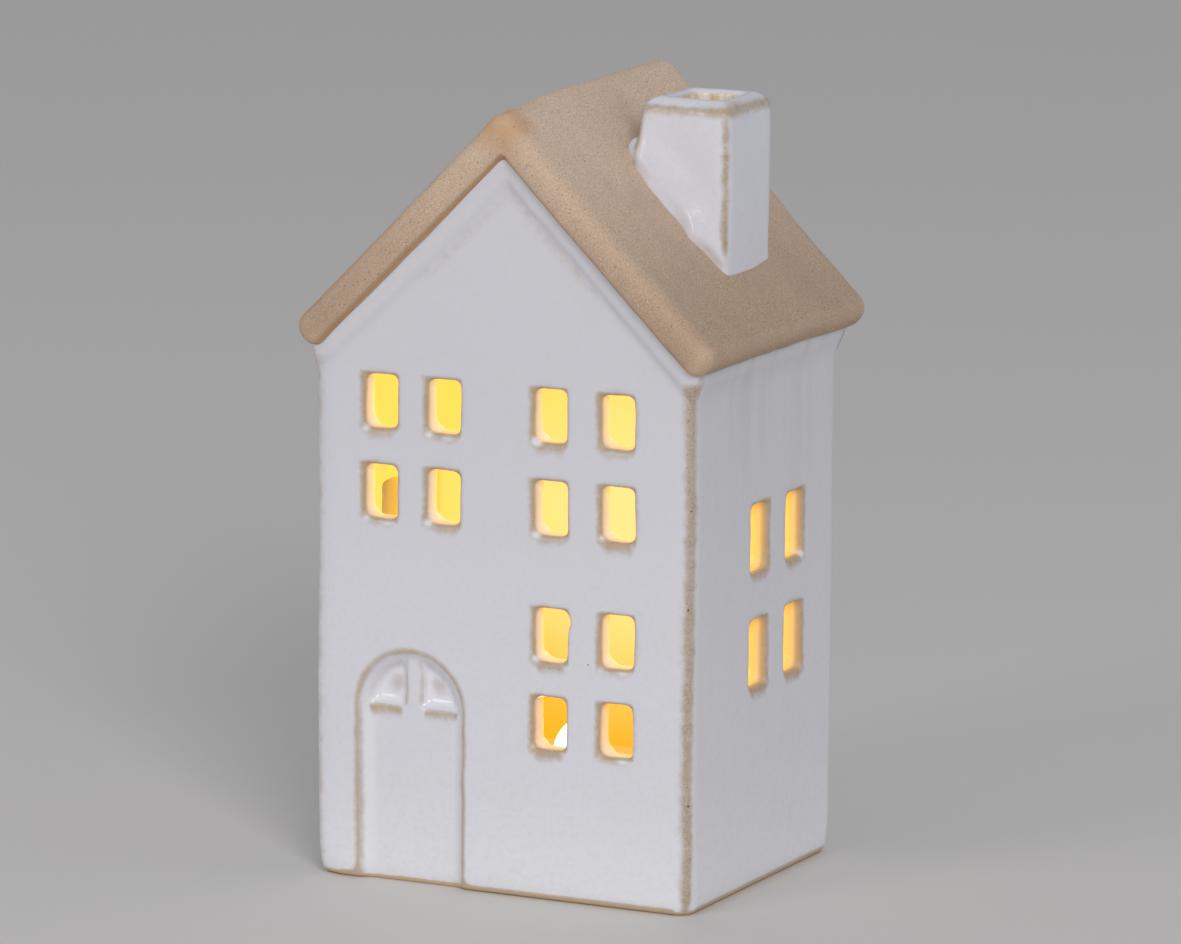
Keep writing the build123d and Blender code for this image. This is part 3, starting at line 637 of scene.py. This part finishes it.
def make_chimney():
    """The glazed stack, its glaze run out in a lip and one drop at its foot on the roof."""
    shape = merged("chimney")
    drop_x = STACK[0].x + DROP_PLACE[0]
    roof_z = RIDGE_HEIGHT - abs(drop_x) * math.tan(ROOF_PITCH)
    drop = Vector((drop_x, STACK[0].y + DROP_PLACE[1], roof_z + DROP_PLACE[2]))
    stretch = Matrix.Translation(drop) @ Matrix.Diagonal((1.0, 1.0, DROP_STRETCH, 1.0))
    bmesh.ops.create_uvsphere(shape, u_segments=24, v_segments=16, radius=DROP_RADIUS, matrix=stretch)
    piece = put_in_scene("glazed_chimney", shape)
    modify(piece, "REMESH", mode="VOXEL", voxel_size=STACK_GRAIN)
    points = relaxed(points_of(piece), edges_of(piece), STACK_ROUNDS)
    move_points(piece, points)
    above = above_slope(points)
    from_flue = outside_flue(points)
    outside = from_flue > FLUE_SKIN

    # The lip runs out level, but not towards the right, where the roof falls away
    level = normals_of(piece)
    level[:, 2] = 0
    level[:, 0] = np.minimum(level[:, 0], 0)
    off_drop = ramp(*DROP_BORDER, np.linalg.norm(points - np.array(drop), axis=1))
    run = 1 + wander(points, LIP_RUN)[:, 0]
    lip = flare(above, LIP_HEIGHT, LIP_REACH) * run * outside * off_drop
    points += lip[:, None] * level + wander(points, STACK_STRAY)
    swell = front_swell(points, above)
    points[:, 1] -= SWELL_HEIGHT * swell * ramp(*SWELL_DEPTHS, points[:, 1] - STACK[0].y)
    points[:, 2] -= LIP_SINK * ramp(*LIP_SINK_HEIGHTS, above) * off_drop
    down = STACK[1].z - points[:, 2]
    points[:, 2] -= PILLOW_DROP * ramp(*PILLOW_ACROSS, from_flue) * ramp(PILLOW_HEIGHT, 0, down)
    move_points(piece, points)

    clear = ramp(*STACK_PROUD_HEIGHTS, above) * ramp(*STACK_PROUD_DEPTHS, down)
    mark_proud(piece, STACK_PROUD_ROUNDS, STACK_PROUD_SHARE * clear)
    band = ramp(*BAND_FOOT, down) * ramp(*BAND_TOP, down) * outside
    mark(piece, "halo", BAND_SHARE * np.maximum(band, ramp(*FLUE_BARE_DEPTHS, down) * ~outside))
    left_face = 2 * FLUE_MIDDLE[0] - STACK[1].x - down * STACK_LEAN
    worn = bell(STACK[1].x - points[:, 0], STACK_WORN_ON_FRONT)
    worn += bell(points[:, 0] - left_face, STACK_WORN_ON_FRONT)
    worn *= STACK_WORN_SHARE * bell(points[:, 1] - STACK[0].y, STACK_WORN_ON_SIDE)
    mark(piece, "edge", worn * ramp(*STACK_WORN_HEIGHTS, above))
    mark(piece, "room", FLUE_GLOW * ramp(*FLUE_GLOW_DEPTHS, down) * ~outside)
    mark(piece, "reveal", ramp(*FLUE_REVEAL_DEPTHS, down) * ~outside)
    smooth_shade(piece)
    return piece


# Finishes

def srgb(red, green, blue):
    """A colour as seen, 0 to 255, as the linear value that a shader takes."""
    shares = (c / 255 for c in (red, green, blue))
    return tuple(s / 12.92 if s <= 0.04045 else ((s + 0.055) / 1.055) ** 2.4 for s in shares) + (1.0,)


class Field:
    """A node's output; arithmetic on it adds Math nodes to its finish."""

    def __init__(self, finish, socket):
        self.finish = finish
        self.socket = socket

    def math(self, operation, first, second):
        return self.finish.add("ShaderNodeMath", {"operation": operation}, {0: first, 1: second})

    def __add__(self, other):
        return self.math("ADD", self, other)

    def __sub__(self, other):
        return self.math("SUBTRACT", self, other)

    def __rsub__(self, other):
        return self.math("SUBTRACT", other, self)

    def __mul__(self, other):
        return self.math("MULTIPLY", self, other)

    def size(self):
        return self.math("ABSOLUTE", self, 0.0)

    def most(self, other):
        return self.math("MAXIMUM", self, other)

    def least(self, other):
        return self.math("MINIMUM", self, other)

    __radd__ = __add__
    __rmul__ = __mul__


class Finish:
    """A material being mixed: nodes that end in one principled shader."""

    def __init__(self, name):
        self.material = bpy.data.materials.new(name)
        self.material.use_nodes = True
        self.tree = self.material.node_tree
        self.shader = self.tree.nodes["Principled BSDF"]
        self.place = self.add("ShaderNodeTexCoord", output="Object")

    def add(self, kind, settings=None, inputs=None, output=0):
        """One node: its settings first, then the values or links of its sockets."""
        node = self.tree.nodes.new(kind)
        for setting, value in (settings or {}).items():
            setattr(node, setting, value)
        self.feed(node, inputs or {})
        return Field(self, node.outputs[output])

    def feed(self, node, inputs):
        for name, value in inputs.items():
            socket = node.inputs[name]
            if isinstance(value, Field):
                self.tree.links.new(value.socket, socket)
            else:
                socket.default_value = value

    def noise(self, size, detail=2.0, roughness=0.5, place=None):
        """Soft noise from 0 to 1, with swings about that size in metres."""
        inputs = {"Vector": place or self.place, "Scale": 1 / size, "Detail": detail}
        return self.add("ShaderNodeTexNoise", None, {**inputs, "Roughness": roughness})

    def stretched(self, scale):
        """The place with its axes scaled, for a pattern drawn out along those scaled down."""
        return self.add("ShaderNodeMapping", None, {"Vector": self.place, "Scale": scale})

    def specks(self, size, share, radius):
        """1 in small round specks: one in a share of the cells of that size."""
        cells = {"Vector": self.place, "Scale": 1 / size}
        near = self.add("ShaderNodeTexVoronoi", None, cells)
        tint = self.add("ShaderNodeTexVoronoi", None, cells, output="Color")
        chance = self.add("ShaderNodeSeparateColor", None, {"Color": tint})
        chosen = self.blend_in(1 - share, 1 - share + 0.02, chance)
        return self.blend_in(radius / size, 0.5 * radius / size, near) * chosen

    def blend_in(self, low, high, field):
        """0 at low, 1 at high, smooth between, whichever is greater."""
        settings = {"interpolation_type": "SMOOTHSTEP"}
        if low > high:
            return 1 - self.blend_in(high, low, field)
        inputs = {"Value": field, "From Min": low, "From Max": high}
        return self.add("ShaderNodeMapRange", settings, inputs)

    def mix(self, share, first, second):
        settings = {"data_type": "RGBA"}
        return self.add("ShaderNodeMix", settings, {0: share, 6: first, 7: second}, output=2)

    def layer(self, name):
        """A number kept on the mesh."""
        return self.add("ShaderNodeAttribute", {"attribute_name": name}, output="Fac")

    def axes(self):
        """The place in metres along X, Y and Z."""
        node = self.add("ShaderNodeSeparateXYZ", None, {"Vector": self.place}).socket.node
        return tuple(Field(self, socket) for socket in node.outputs)

    def bump(self, height, depth, under=None):
        """A normal that follows a height field, given in shares of a depth in metres."""
        inputs = {"Height": height, "Distance": depth, "Strength": 1.0}
        if under:
            inputs["Normal"] = under
        return self.add("ShaderNodeBump", None, inputs)

    def done(self, **inputs):
        """Feeds the shader: words of a socket's name are joined by underscores."""
        self.feed(self.shader, {name.replace("_", " ").title(): value for name, value in inputs.items()})
        return self.material


# The lamp's light on the room's surfaces
GLOW_LOW = srgb(240, 176, 30)
GLOW_HIGH = srgb(250, 214, 92)
GLOW_PALE = srgb(255, 236, 158)
GLOW_STRENGTH = 0.75
GLOW_HEIGHTS = (24 * MM, 58 * MM)
LIT_SPOT = (-2 * MM, HALF_DEPTH - WALL_THICKNESS, 62 * MM)
LIT_SIZE = (48 * MM, 6 * MM)
DARK = (0.0, 0.0, 0.0, 1.0)


def room_glow(finish, room):
    """Light to give off: amber low down, pale yellow where it falls on the back wall, none outside."""
    z = finish.axes()[2]
    from_spot = {0: finish.place, 1: LIT_SPOT}
    away = finish.add("ShaderNodeVectorMath", {"operation": "DISTANCE"}, from_spot, output=1)
    glow = finish.mix(finish.blend_in(*GLOW_HEIGHTS, z), GLOW_LOW, GLOW_HIGH)
    glow = finish.mix(finish.blend_in(*LIT_SIZE, away), glow, GLOW_PALE)
    return finish.mix(room, DARK, glow)


# White glaze, with painted light that makes it brighter towards the foot; thin in clouds, pooled white in
# hollows
GLAZE_HIGH_SHADED = srgb(220, 219, 225)
GLAZE_LOW_LIT = srgb(231, 230, 236)
GLAZE_FOOT_LIT = srgb(240, 239, 244)
GLAZE_STACK = srgb(230, 230, 238)
GLAZE_STREAK = srgb(190, 181, 172)
GLAZE_THIN = srgb(214, 210, 208)
GLAZE_POOL = srgb(244, 243, 247)

# The clay that shows through it, the room's clay with the lamp's amber light painted into it, and the window
# reveals that the lamp tints
CLAY = srgb(203, 181, 152)
CLAY_DARK = srgb(172, 149, 121)
WORN_DARK = srgb(150, 130, 110)
WORN_PALE = srgb(204, 189, 174)
TOASTED = srgb(198, 162, 118)
FOOT_CLAY = srgb(226, 196, 156)
LAMPLIT_ROOM_CLAY = srgb(190, 140, 60)
IRON = srgb(92, 66, 44)
FRONT_REVEAL = srgb(255, 244, 234)
SIDE_REVEAL = srgb(243, 219, 130)

# Heights over which painted light brightens the glaze towards the foot, and over which streaks run down
# below the eaves
PAINTED_LIGHT_HEIGHTS = (115 * MM, 25 * MM)
FOOT_PAINTED_LIGHT_HEIGHTS = (30 * MM, 0)
STREAK_HEIGHTS = (66 * MM, 110 * MM)
FALLING = (1.0, 1.0, 0.06)


class Glaze(Finish):
    """White glaze over sandy clay: thin and tan on proud edges, specked with iron."""

    def __init__(self, name, walls):
        super().__init__(name)
        self.walls = walls
        self.x, self.y, self.z = self.axes()
        self.proud = self.layer("proud")
        self.reveal = self.layer("reveal")
        self.falling = self.stretched(FALLING)
        self.ragged = self.noise(1.6 * MM, detail=4.0, roughness=0.65)
        self.patchy = self.noise(11 * MM, detail=3.0)
        self.mottle = self.noise(1.1 * MM, detail=4.0, roughness=0.6)
        if walls:
            inner_face = HALF_WIDTH - WALL_THICKNESS
            self.depth = (HALF_WIDTH - self.x.size()).least(HALF_DEPTH - self.y.size())
            self.on_side = self.blend_in(inner_face - 0.5 * MM, inner_face, self.x.size())

    def bordered(self, field, ragged, patchy):
        """A field whose border is made ragged and patchy by these shares."""
        return field + ragged * (self.ragged - 0.5) + patchy * (self.patchy - 0.5)

    def room(self):
        """Where the lamp lights the inner faces, and faintly the windows' reveals."""
        if not self.walls:
            return self.layer("room")
        inside = self.blend_in(3.8 * MM, 4.8 * MM, self.depth)
        return (inside * self.blend_in(FLOOR_TOP / 2, FLOOR_TOP, self.z)).most(0.36 * self.reveal)

    def corner(self):
        """Where corners lost their glaze, with a chipped border."""
        chipped = self.noise(3 * MM, detail=6.0, roughness=0.7)
        return 0.95 * self.blend_in(0.15, 1.05, self.layer("edge") + 1.1 * (chipped - 0.5))

    def bare(self, corner, bead):
        """Where clay shows: on proud edges, round windows, on corners and along lines, but not in beads."""
        outer = 1.0
        if self.walls:
            outer = self.blend_in(1.6 * MM, 0.5 * MM, self.depth - 0.8 * MM * self.on_side)
        worn = self.blend_in(0.05, 0.15, self.bordered(self.proud, 0.06, 0.06)) * outer
        smear = self.blend_in(0.2, 1.0, self.bordered(self.layer("halo"), 0.7, 0.3)) * outer
        line = self.blend_in(0.15, 1.1, self.bordered(self.layer("line"), 0.7, 0.5))
        bare = (0.8 * worn).most(0.95 * smear).most(corner).most(0.9 * line) * (1 - 0.95 * bead)
        if self.walls:
            return bare
        runs = self.blend_in(0.48, 0.6, self.noise(2.6 * MM, detail=3.0, place=self.falling))
        return bare * (1 - 0.9 * self.reveal * runs)

    def glaze_colour(self, bead):
        colour = GLAZE_STACK
        if self.walls:
            # Painted light: the walls' glaze is painted darker high up and brighter towards the foot
            colour = self.mix(self.blend_in(*PAINTED_LIGHT_HEIGHTS, self.z), GLAZE_HIGH_SHADED, GLAZE_LOW_LIT)
            colour = self.mix(self.blend_in(*FOOT_PAINTED_LIGHT_HEIGHTS, self.z), colour, GLAZE_FOOT_LIT)
        cloud = self.noise(18 * MM, detail=4.0)
        thin = self.blend_in(0.58, 1.0, 0.6 * cloud + 0.4 * self.mottle)
        thin = thin.most(0.2 * self.blend_in(0.4, 0.75, self.mottle))
        colour = self.mix(thin, colour, GLAZE_THIN)
        streaks = self.blend_in(0.45, 0.85, self.noise(6 * MM, detail=3.0, place=self.falling))
        streaks = streaks * self.blend_in(HALF_WIDTH - 2 * MM, HALF_WIDTH, self.x.size())
        colour = self.mix(0.55 * streaks * self.blend_in(*STREAK_HEIGHTS, self.z), colour, GLAZE_STREAK)
        pool = (0.6 * self.blend_in(-0.02, -0.16, self.proud)).most(0.7 * bead)
        return self.mix(pool, colour, GLAZE_POOL)

    def clay_colour(self, corner):
        clay = self.mix(self.noise(0.9 * MM, detail=5.0, roughness=0.7), CLAY_DARK, CLAY)
        toasted = (0.6 * self.blend_in(0.5, 0.75, self.patchy)).most(0.5 * self.reveal)
        clay = self.mix(toasted, clay, TOASTED)
        grain = self.blend_in(0.3, 0.7, self.noise(0.45 * MM, detail=5.0, roughness=0.8))
        return self.mix(0.7 * corner, clay, self.mix(grain, WORN_DARK, WORN_PALE))

    def iron(self, bare, corner):
        """Specks of iron: a few anywhere, more on bare clay, most on worn corners."""
        few = self.specks(9 * MM, 0.08, 0.2 * MM) + self.specks(2.4 * MM, 0.10, 0.16 * MM) * bare
        many = self.specks(2.2 * MM, 0.3, 0.3 * MM) + 0.6 * self.specks(0.9 * MM, 0.3, 0.2 * MM)
        return (few + many * corner).least(1.0)

    def fired(self):
        """The finished glaze."""
        room = self.room()
        corner = self.corner()
        bead = self.blend_in(0.0, 0.8, self.layer("bead") + 0.2 * (self.ragged - 0.5))
        bare = self.bare(corner, bead)
        foot = self.blend_in(1.3 * MM, 0.8 * MM, self.bordered(self.z, 0.5 * MM, 1.6 * MM))
        colour = self.mix(bare, self.glaze_colour(bead), self.clay_colour(corner))
        foot_clay = self.mix(self.noise(0.5 * MM, detail=5.0, roughness=0.8), CLAY, FOOT_CLAY)
        colour = self.mix(foot, colour, foot_clay)
        colour = self.mix(self.iron(bare, corner), colour, IRON)
        if self.walls:
            tint = (self.reveal * (0.7 + 1.1 * self.on_side)).least(0.9)
            colour = self.mix(tint, colour, self.mix(self.on_side, FRONT_REVEAL, SIDE_REVEAL))
        # Painted light: the room's inner faces take the lamp's amber light into their colour, over the clay
        colour = self.mix(0.9 * self.blend_in(0.45, 0.9, room), colour, LAMPLIT_ROOM_CLAY)
        pinholes = self.specks(13 * MM, 0.35, 0.3 * MM)
        ripple = self.bump(self.noise(5 * MM) + 0.12 * self.mottle - 0.8 * pinholes, 0.10 * MM)
        grit = self.noise(0.35 * MM, detail=3.0) * (0.2 + bare.most(foot))
        return self.done(
            base_color=colour, roughness=0.14 + 0.30 * bare + 0.5 * foot,
            normal=self.bump(grit, 0.03 * MM, ripple),
            emission_color=room_glow(self, room), emission_strength=GLOW_STRENGTH,
        )


# Bare stoneware: coarse and fine sand, each darker at the eaves than at the ridge, and what marks it
SAND_COARSE = (srgb(166, 140, 116), srgb(202, 175, 151))
SAND_FINE = (srgb(210, 184, 158), srgb(245, 220, 196))
SAND_CLOUD = srgb(182, 158, 136)
SAND_FLUSH = srgb(212, 160, 108)
SAND_SEAM = srgb(182, 130, 82)
SAND_EDGE = srgb(236, 204, 174)
SAND_END = srgb(150, 110, 78)
SAND_GRAIN = srgb(104, 80, 60)


def make_stoneware(name):
    """Bare fired clay: sandy, matte, with dark grains and a toasted flush by the glaze."""
    finish = Finish(name)
    x, y, z = finish.axes()
    sand = finish.blend_in(0.32, 0.68, finish.noise(0.34 * MM, detail=4.0, roughness=0.8))
    high = finish.blend_in(EAVE_HEIGHT, RIDGE_HEIGHT, z)
    colour = finish.mix(sand, finish.mix(high, *SAND_COARSE), finish.mix(high, *SAND_FINE))
    cloud = finish.blend_in(0.45, 0.75, finish.noise(14 * MM, detail=4.0))
    colour = finish.mix(0.3 * cloud, colour, SAND_CLOUD)
    flush = finish.layer("flush") + 0.7 * (finish.noise(3 * MM, detail=4.0) - 0.5)
    colour = finish.mix(0.65 * finish.blend_in(0.3, 1.0, flush), colour, SAND_FLUSH)
    seam = finish.layer("seam") + 0.5 * (finish.noise(2 * MM, detail=3.0) - 0.5)
    colour = finish.mix(0.65 * finish.blend_in(0.2, 0.9, seam), colour, SAND_SEAM)
    edge = finish.blend_in(0.05, 0.35, finish.layer("proud"))
    colour = finish.mix(0.45 * edge, colour, SAND_EDGE)
    front_end = finish.blend_in(ROOF[0].y + 3 * MM, ROOF[0].y + 1 * MM, y)
    colour = finish.mix(0.16 * front_end, colour, SAND_END)
    grains = finish.specks(0.9 * MM, 0.35, 0.2 * MM) + finish.specks(4 * MM, 0.15, 0.24 * MM)
    colour = finish.mix(0.6 * grains.least(1.0), colour, SAND_GRAIN)
    waves = finish.bump(finish.noise(4 * MM, detail=3.0), 0.15 * MM)
    pits = finish.noise(0.28 * MM, detail=4.0, roughness=0.7)
    return finish.done(
        base_color=colour, roughness=0.8 + 0.15 * sand, normal=finish.bump(pits, 0.07 * MM, waves),
        emission_color=room_glow(finish, finish.layer("room")), emission_strength=GLOW_STRENGTH,
    )


# Moulded surfaces: the size and depth of their texture, and how much darker their clouds are
TEXTURE_SIZE = 0.25 * MM
TEXTURE_DEPTH = 0.02 * MM
STAIN_SHARE = 0.82

# Metals: lines drawn along Z, and how much darker tarnish is
DRAWN = (1.0, 1.0, 0.05)
DRAWN_SIZE = 0.15 * MM
DRAWN_DEPTH = 0.006 * MM
TARNISH_SHARE = 0.7


def darkened(colour, share):
    return tuple(share * c for c in colour[:3]) + (1.0,)


def make_moulded(name, colour, roughness):
    """Moulded plastic, rubber or resin: a fine surface texture and faint unevenness."""
    finish = Finish(name)
    fine = finish.noise(TEXTURE_SIZE, detail=3.0)
    cloud = finish.noise(9 * MM, detail=3.0)
    tint = finish.mix(0.6 * cloud + 0.2 * fine, colour, darkened(colour, STAIN_SHARE))
    rough = roughness + 0.12 * (fine - 0.5) + 0.1 * (cloud - 0.5)
    return finish.done(base_color=tint, roughness=rough, normal=finish.bump(fine, TEXTURE_DEPTH))


def make_metal(name, colour, roughness):
    """Plated or bare metal: drawn lines and faint tarnish."""
    finish = Finish(name)
    lines = finish.noise(DRAWN_SIZE, detail=4.0, place=finish.stretched(DRAWN))
    tarnish = finish.noise(3 * MM, detail=4.0)
    tint = finish.mix(finish.blend_in(0.5, 0.8, tarnish), colour, darkened(colour, TARNISH_SHARE))
    rough = roughness + 0.15 * (lines - 0.5) + 0.12 * tarnish
    normal = finish.bump(lines, DRAWN_DEPTH)
    return finish.done(base_color=tint, roughness=rough, metallic=1.0, normal=normal)


# The lit tip: its resin, and the light it gives off
TIP_RESIN = srgb(250, 240, 220)
TIP_GLOW = (srgb(255, 244, 214), srgb(255, 250, 232))
TIP_STRENGTH = 2.2


def make_diffuser(name):
    """Milky resin lit white-hot from inside."""
    finish = Finish(name)
    cloud = finish.noise(2 * MM, detail=3.0)
    return finish.done(
        base_color=TIP_RESIN, roughness=0.3 + 0.1 * cloud,
        emission_color=finish.mix(cloud, *TIP_GLOW), emission_strength=TIP_STRENGTH,
    )


# The two cells lie side by side, the front one's plus end to the right, the rear one's to the left
FRONT_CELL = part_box("front_battery")
CELL_SPLIT = (FRONT_CELL[1].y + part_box("rear_battery")[0].y) / 2
CELL_MINUS = FRONT_CELL[0].x + 0.5 * MM
CELL_PLUS = FRONT_CELL[1].x - 1.3 * MM
CELL_BAND = 11 * MM
FILM_EDGE = 0.1 * MM
FILM = srgb(78, 112, 132)
FILM_DARK = srgb(58, 88, 106)
FILM_BAND = srgb(206, 208, 206)
CELL_STEEL = srgb(206, 206, 208)


def make_cell_sleeve(name):
    """A dry cell's film, with a pale band at its plus end and bare steel ends."""
    finish = Finish(name)
    x, y, z = finish.axes()
    fine = finish.noise(0.4 * MM, detail=3.0)
    scuff = finish.noise(6 * MM, detail=4.0)
    front = finish.blend_in(CELL_SPLIT + FILM_EDGE, CELL_SPLIT - FILM_EDGE, y)
    along = x * (2 * front - 1)
    band = finish.blend_in(CELL_BAND, CELL_BAND + 2 * FILM_EDGE, along)
    steel = finish.blend_in(CELL_PLUS, CELL_PLUS + FILM_EDGE, along)
    steel = steel.most(finish.blend_in(CELL_MINUS, CELL_MINUS - FILM_EDGE, along))
    colour = finish.mix(0.4 * scuff, FILM, FILM_DARK)
    colour = finish.mix(band, colour, FILM_BAND)
    colour = finish.mix(steel, colour, CELL_STEEL)
    return finish.done(
        base_color=colour, roughness=0.26 + 0.12 * scuff + 0.06 * fine,
        metallic=steel.most(0.5 * band), normal=finish.bump(fine, 0.01 * MM),
    )


# Each slot's colour and roughness
MOULDED = {
    "white_plastic": (srgb(232, 230, 224), 0.42),
    "silicone": (srgb(222, 220, 212), 0.6),
    "board_laminate": (srgb(36, 104, 58), 0.35),
    "chip_resin": (srgb(34, 34, 36), 0.5),
    "resistor_body": (srgb(44, 44, 48), 0.4),
    "capacitor_body": (srgb(180, 150, 116), 0.5),
    "led_resin": (srgb(250, 232, 176), 0.12),
    "wafer_laminate": (srgb(122, 84, 50), 0.6),
    "black_plastic": (srgb(34, 34, 36), 0.45),
    "red_insulation": (srgb(176, 34, 30), 0.35),
    "white_insulation": (srgb(230, 228, 222), 0.35),
    "black_insulation": (srgb(30, 30, 32), 0.35),
}
METALS = {
    "nickel_strip": (srgb(205, 200, 188), 0.3),
    "tinned_lead": (srgb(214, 214, 216), 0.28),
    "plated_steel": (srgb(200, 202, 206), 0.3),
    "brass_strip": (srgb(214, 180, 108), 0.28),
}


# Pieces and their finishes

# Words at the two ends of the switch, and their places across
SWITCH_WORDS = (("ON", -9.5 * MM), ("OFF", 10 * MM))
LETTER_SIZE = 3.0 * MM
LETTER_DEPTH = 0.15 * MM


def dress(piece, material):
    piece.data.materials.clear()
    piece.data.materials.append(material)


def build_house():
    for make, node, slot, material in (
        (make_walls, "house_walls", "white_glaze", Glaze("wall_glaze", walls=True).fired()),
        (make_roof, "roof", "bare_stoneware", make_stoneware("roof_stoneware")),
        (make_chimney, "chimney", "white_glaze", Glaze("chimney_glaze", walls=False).fired()),
    ):
        piece = make()
        dress(piece, material)
        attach(piece, "house")
        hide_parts(node)


def make_letters(word, x, material):
    """Moulded letters on the light unit's underside, read from below, beside the switch."""
    font = bpy.data.curves.new(word, "FONT")
    font.body = word
    font.size = LETTER_SIZE
    font.extrude = LETTER_DEPTH
    font.align_x = "CENTER"
    font.align_y = "CENTER"
    drawn = bpy.data.objects.new(word, font)
    bpy.context.scene.collection.objects.link(drawn)
    mesh = bpy.data.meshes.new_from_object(drawn.evaluated_get(bpy.context.evaluated_depsgraph_get()))
    bpy.data.objects.remove(drawn)
    bpy.data.curves.remove(font)
    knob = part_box("switch_knob")
    middle = Vector((x, (knob[0].y + knob[1].y) / 2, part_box("light_base")[0].z))
    mesh.transform(Matrix.Translation(middle) @ Matrix.Rotation(math.pi, 4, "X"))
    piece = bpy.data.objects.new("letters_" + word.lower(), mesh)
    bpy.context.scene.collection.objects.link(piece)
    dress(piece, material)
    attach(piece, "light_unit")


def finish_light_unit():
    """Gives each CAD node that stays a finish for its slot, and the switch its words."""
    finishes = {slot: make_moulded(slot, *look) for slot, look in MOULDED.items()}
    finishes |= {slot: make_metal(slot, *look) for slot, look in METALS.items()}
    finishes["milky_diffuser"] = make_diffuser("milky_diffuser")
    finishes["cell_sleeve"] = make_cell_sleeve("cell_sleeve")
    slots = {row["node"]: row["material_slot"] for row in frame["record"]["subparts"]}
    for node, piece in frame["nodes"].items():
        if slots[node] in finishes:
            for place in piece.material_slots:
                place.material = finishes[slots[node]]
    for word, x in SWITCH_WORDS:
        make_letters(word, x, finishes["white_plastic"])


# Stage, lights and camera

# Lamps: name, place, size and power
LAMPS = (
    ("key", (1.35, -1.75, 1.2), 0.8, 21),
    ("fill", (-0.8, -1.95, 0.75), 0.65, 6),
)
SKY = (0.91, 0.94, 1.0, 1.0)
SKY_LEVEL = 0.39
FLOOR_REACH = 6.0
FLOOR_TINTS = (srgb(226, 222, 218), srgb(229, 226, 222))

# The photograph's camera: turn, height and roll in degrees, and its focal length in pixels
IMAGE_WIDTH = 1181
FOCAL_PIXELS = 8000
CAMERA_TURN = 26.12
CAMERA_HEIGHT = 10.54
CAMERA_ROLL = 0.42
CAMERA_DISTANCE = 1572.8 * MM
CAMERA_AIM = (2.23 * MM, -0.95 * MM, 79.11 * MM)


def make_floor():
    shape = bmesh.new()
    bmesh.ops.create_grid(shape, x_segments=8, y_segments=8, size=FLOOR_REACH)
    floor = put_in_scene("floor", shape)
    finish = Finish("pale_floor")
    tint = finish.mix(finish.noise(0.6, detail=3.0), *FLOOR_TINTS)
    dress(floor, finish.done(base_color=tint, roughness=0.75))


def make_soft_box(name, place, size, power):
    """A square soft light aimed at the middle of the house."""
    lamp = bpy.data.lights.new(name, "AREA")
    lamp.size = size
    lamp.energy = power
    box = bpy.data.objects.new(name, lamp)
    box.location = place
    aim = Vector((0, 0, ROOF[1].z / 2)) - Vector(place)
    box.rotation_euler = aim.to_track_quat("-Z", "Y").to_euler()
    bpy.context.scene.collection.objects.link(box)


def make_world():
    world = bpy.data.worlds.new("studio")
    world.use_nodes = True
    sky = world.node_tree.nodes["Background"]
    sky.inputs["Color"].default_value = SKY
    sky.inputs["Strength"].default_value = SKY_LEVEL
    bpy.context.scene.world = world


def make_camera():
    lens = bpy.data.cameras.new("camera")
    lens.sensor_fit = "HORIZONTAL"
    lens.lens = lens.sensor_width * FOCAL_PIXELS / IMAGE_WIDTH
    lens.clip_start = 10 * MM
    lens.clip_end = 100
    camera = bpy.data.objects.new("camera", lens)
    turn = Matrix.Rotation(math.radians(CAMERA_TURN), 4, "Z")
    tilt = Matrix.Rotation(math.radians(90 - CAMERA_HEIGHT), 4, "X")
    roll = Matrix.Rotation(math.radians(CAMERA_ROLL), 4, "Z")
    back = Matrix.Translation((0, 0, CAMERA_DISTANCE))
    camera.matrix_world = Matrix.Translation(CAMERA_AIM) @ turn @ tilt @ back @ roll
    bpy.context.scene.collection.objects.link(camera)
    bpy.context.scene.camera = camera


build_house()
finish_light_unit()
make_floor()
for lamp in LAMPS:
    make_soft_box(*lamp)
make_world()
make_camera()
bpy.context.scene.view_settings.view_transform = "Standard"
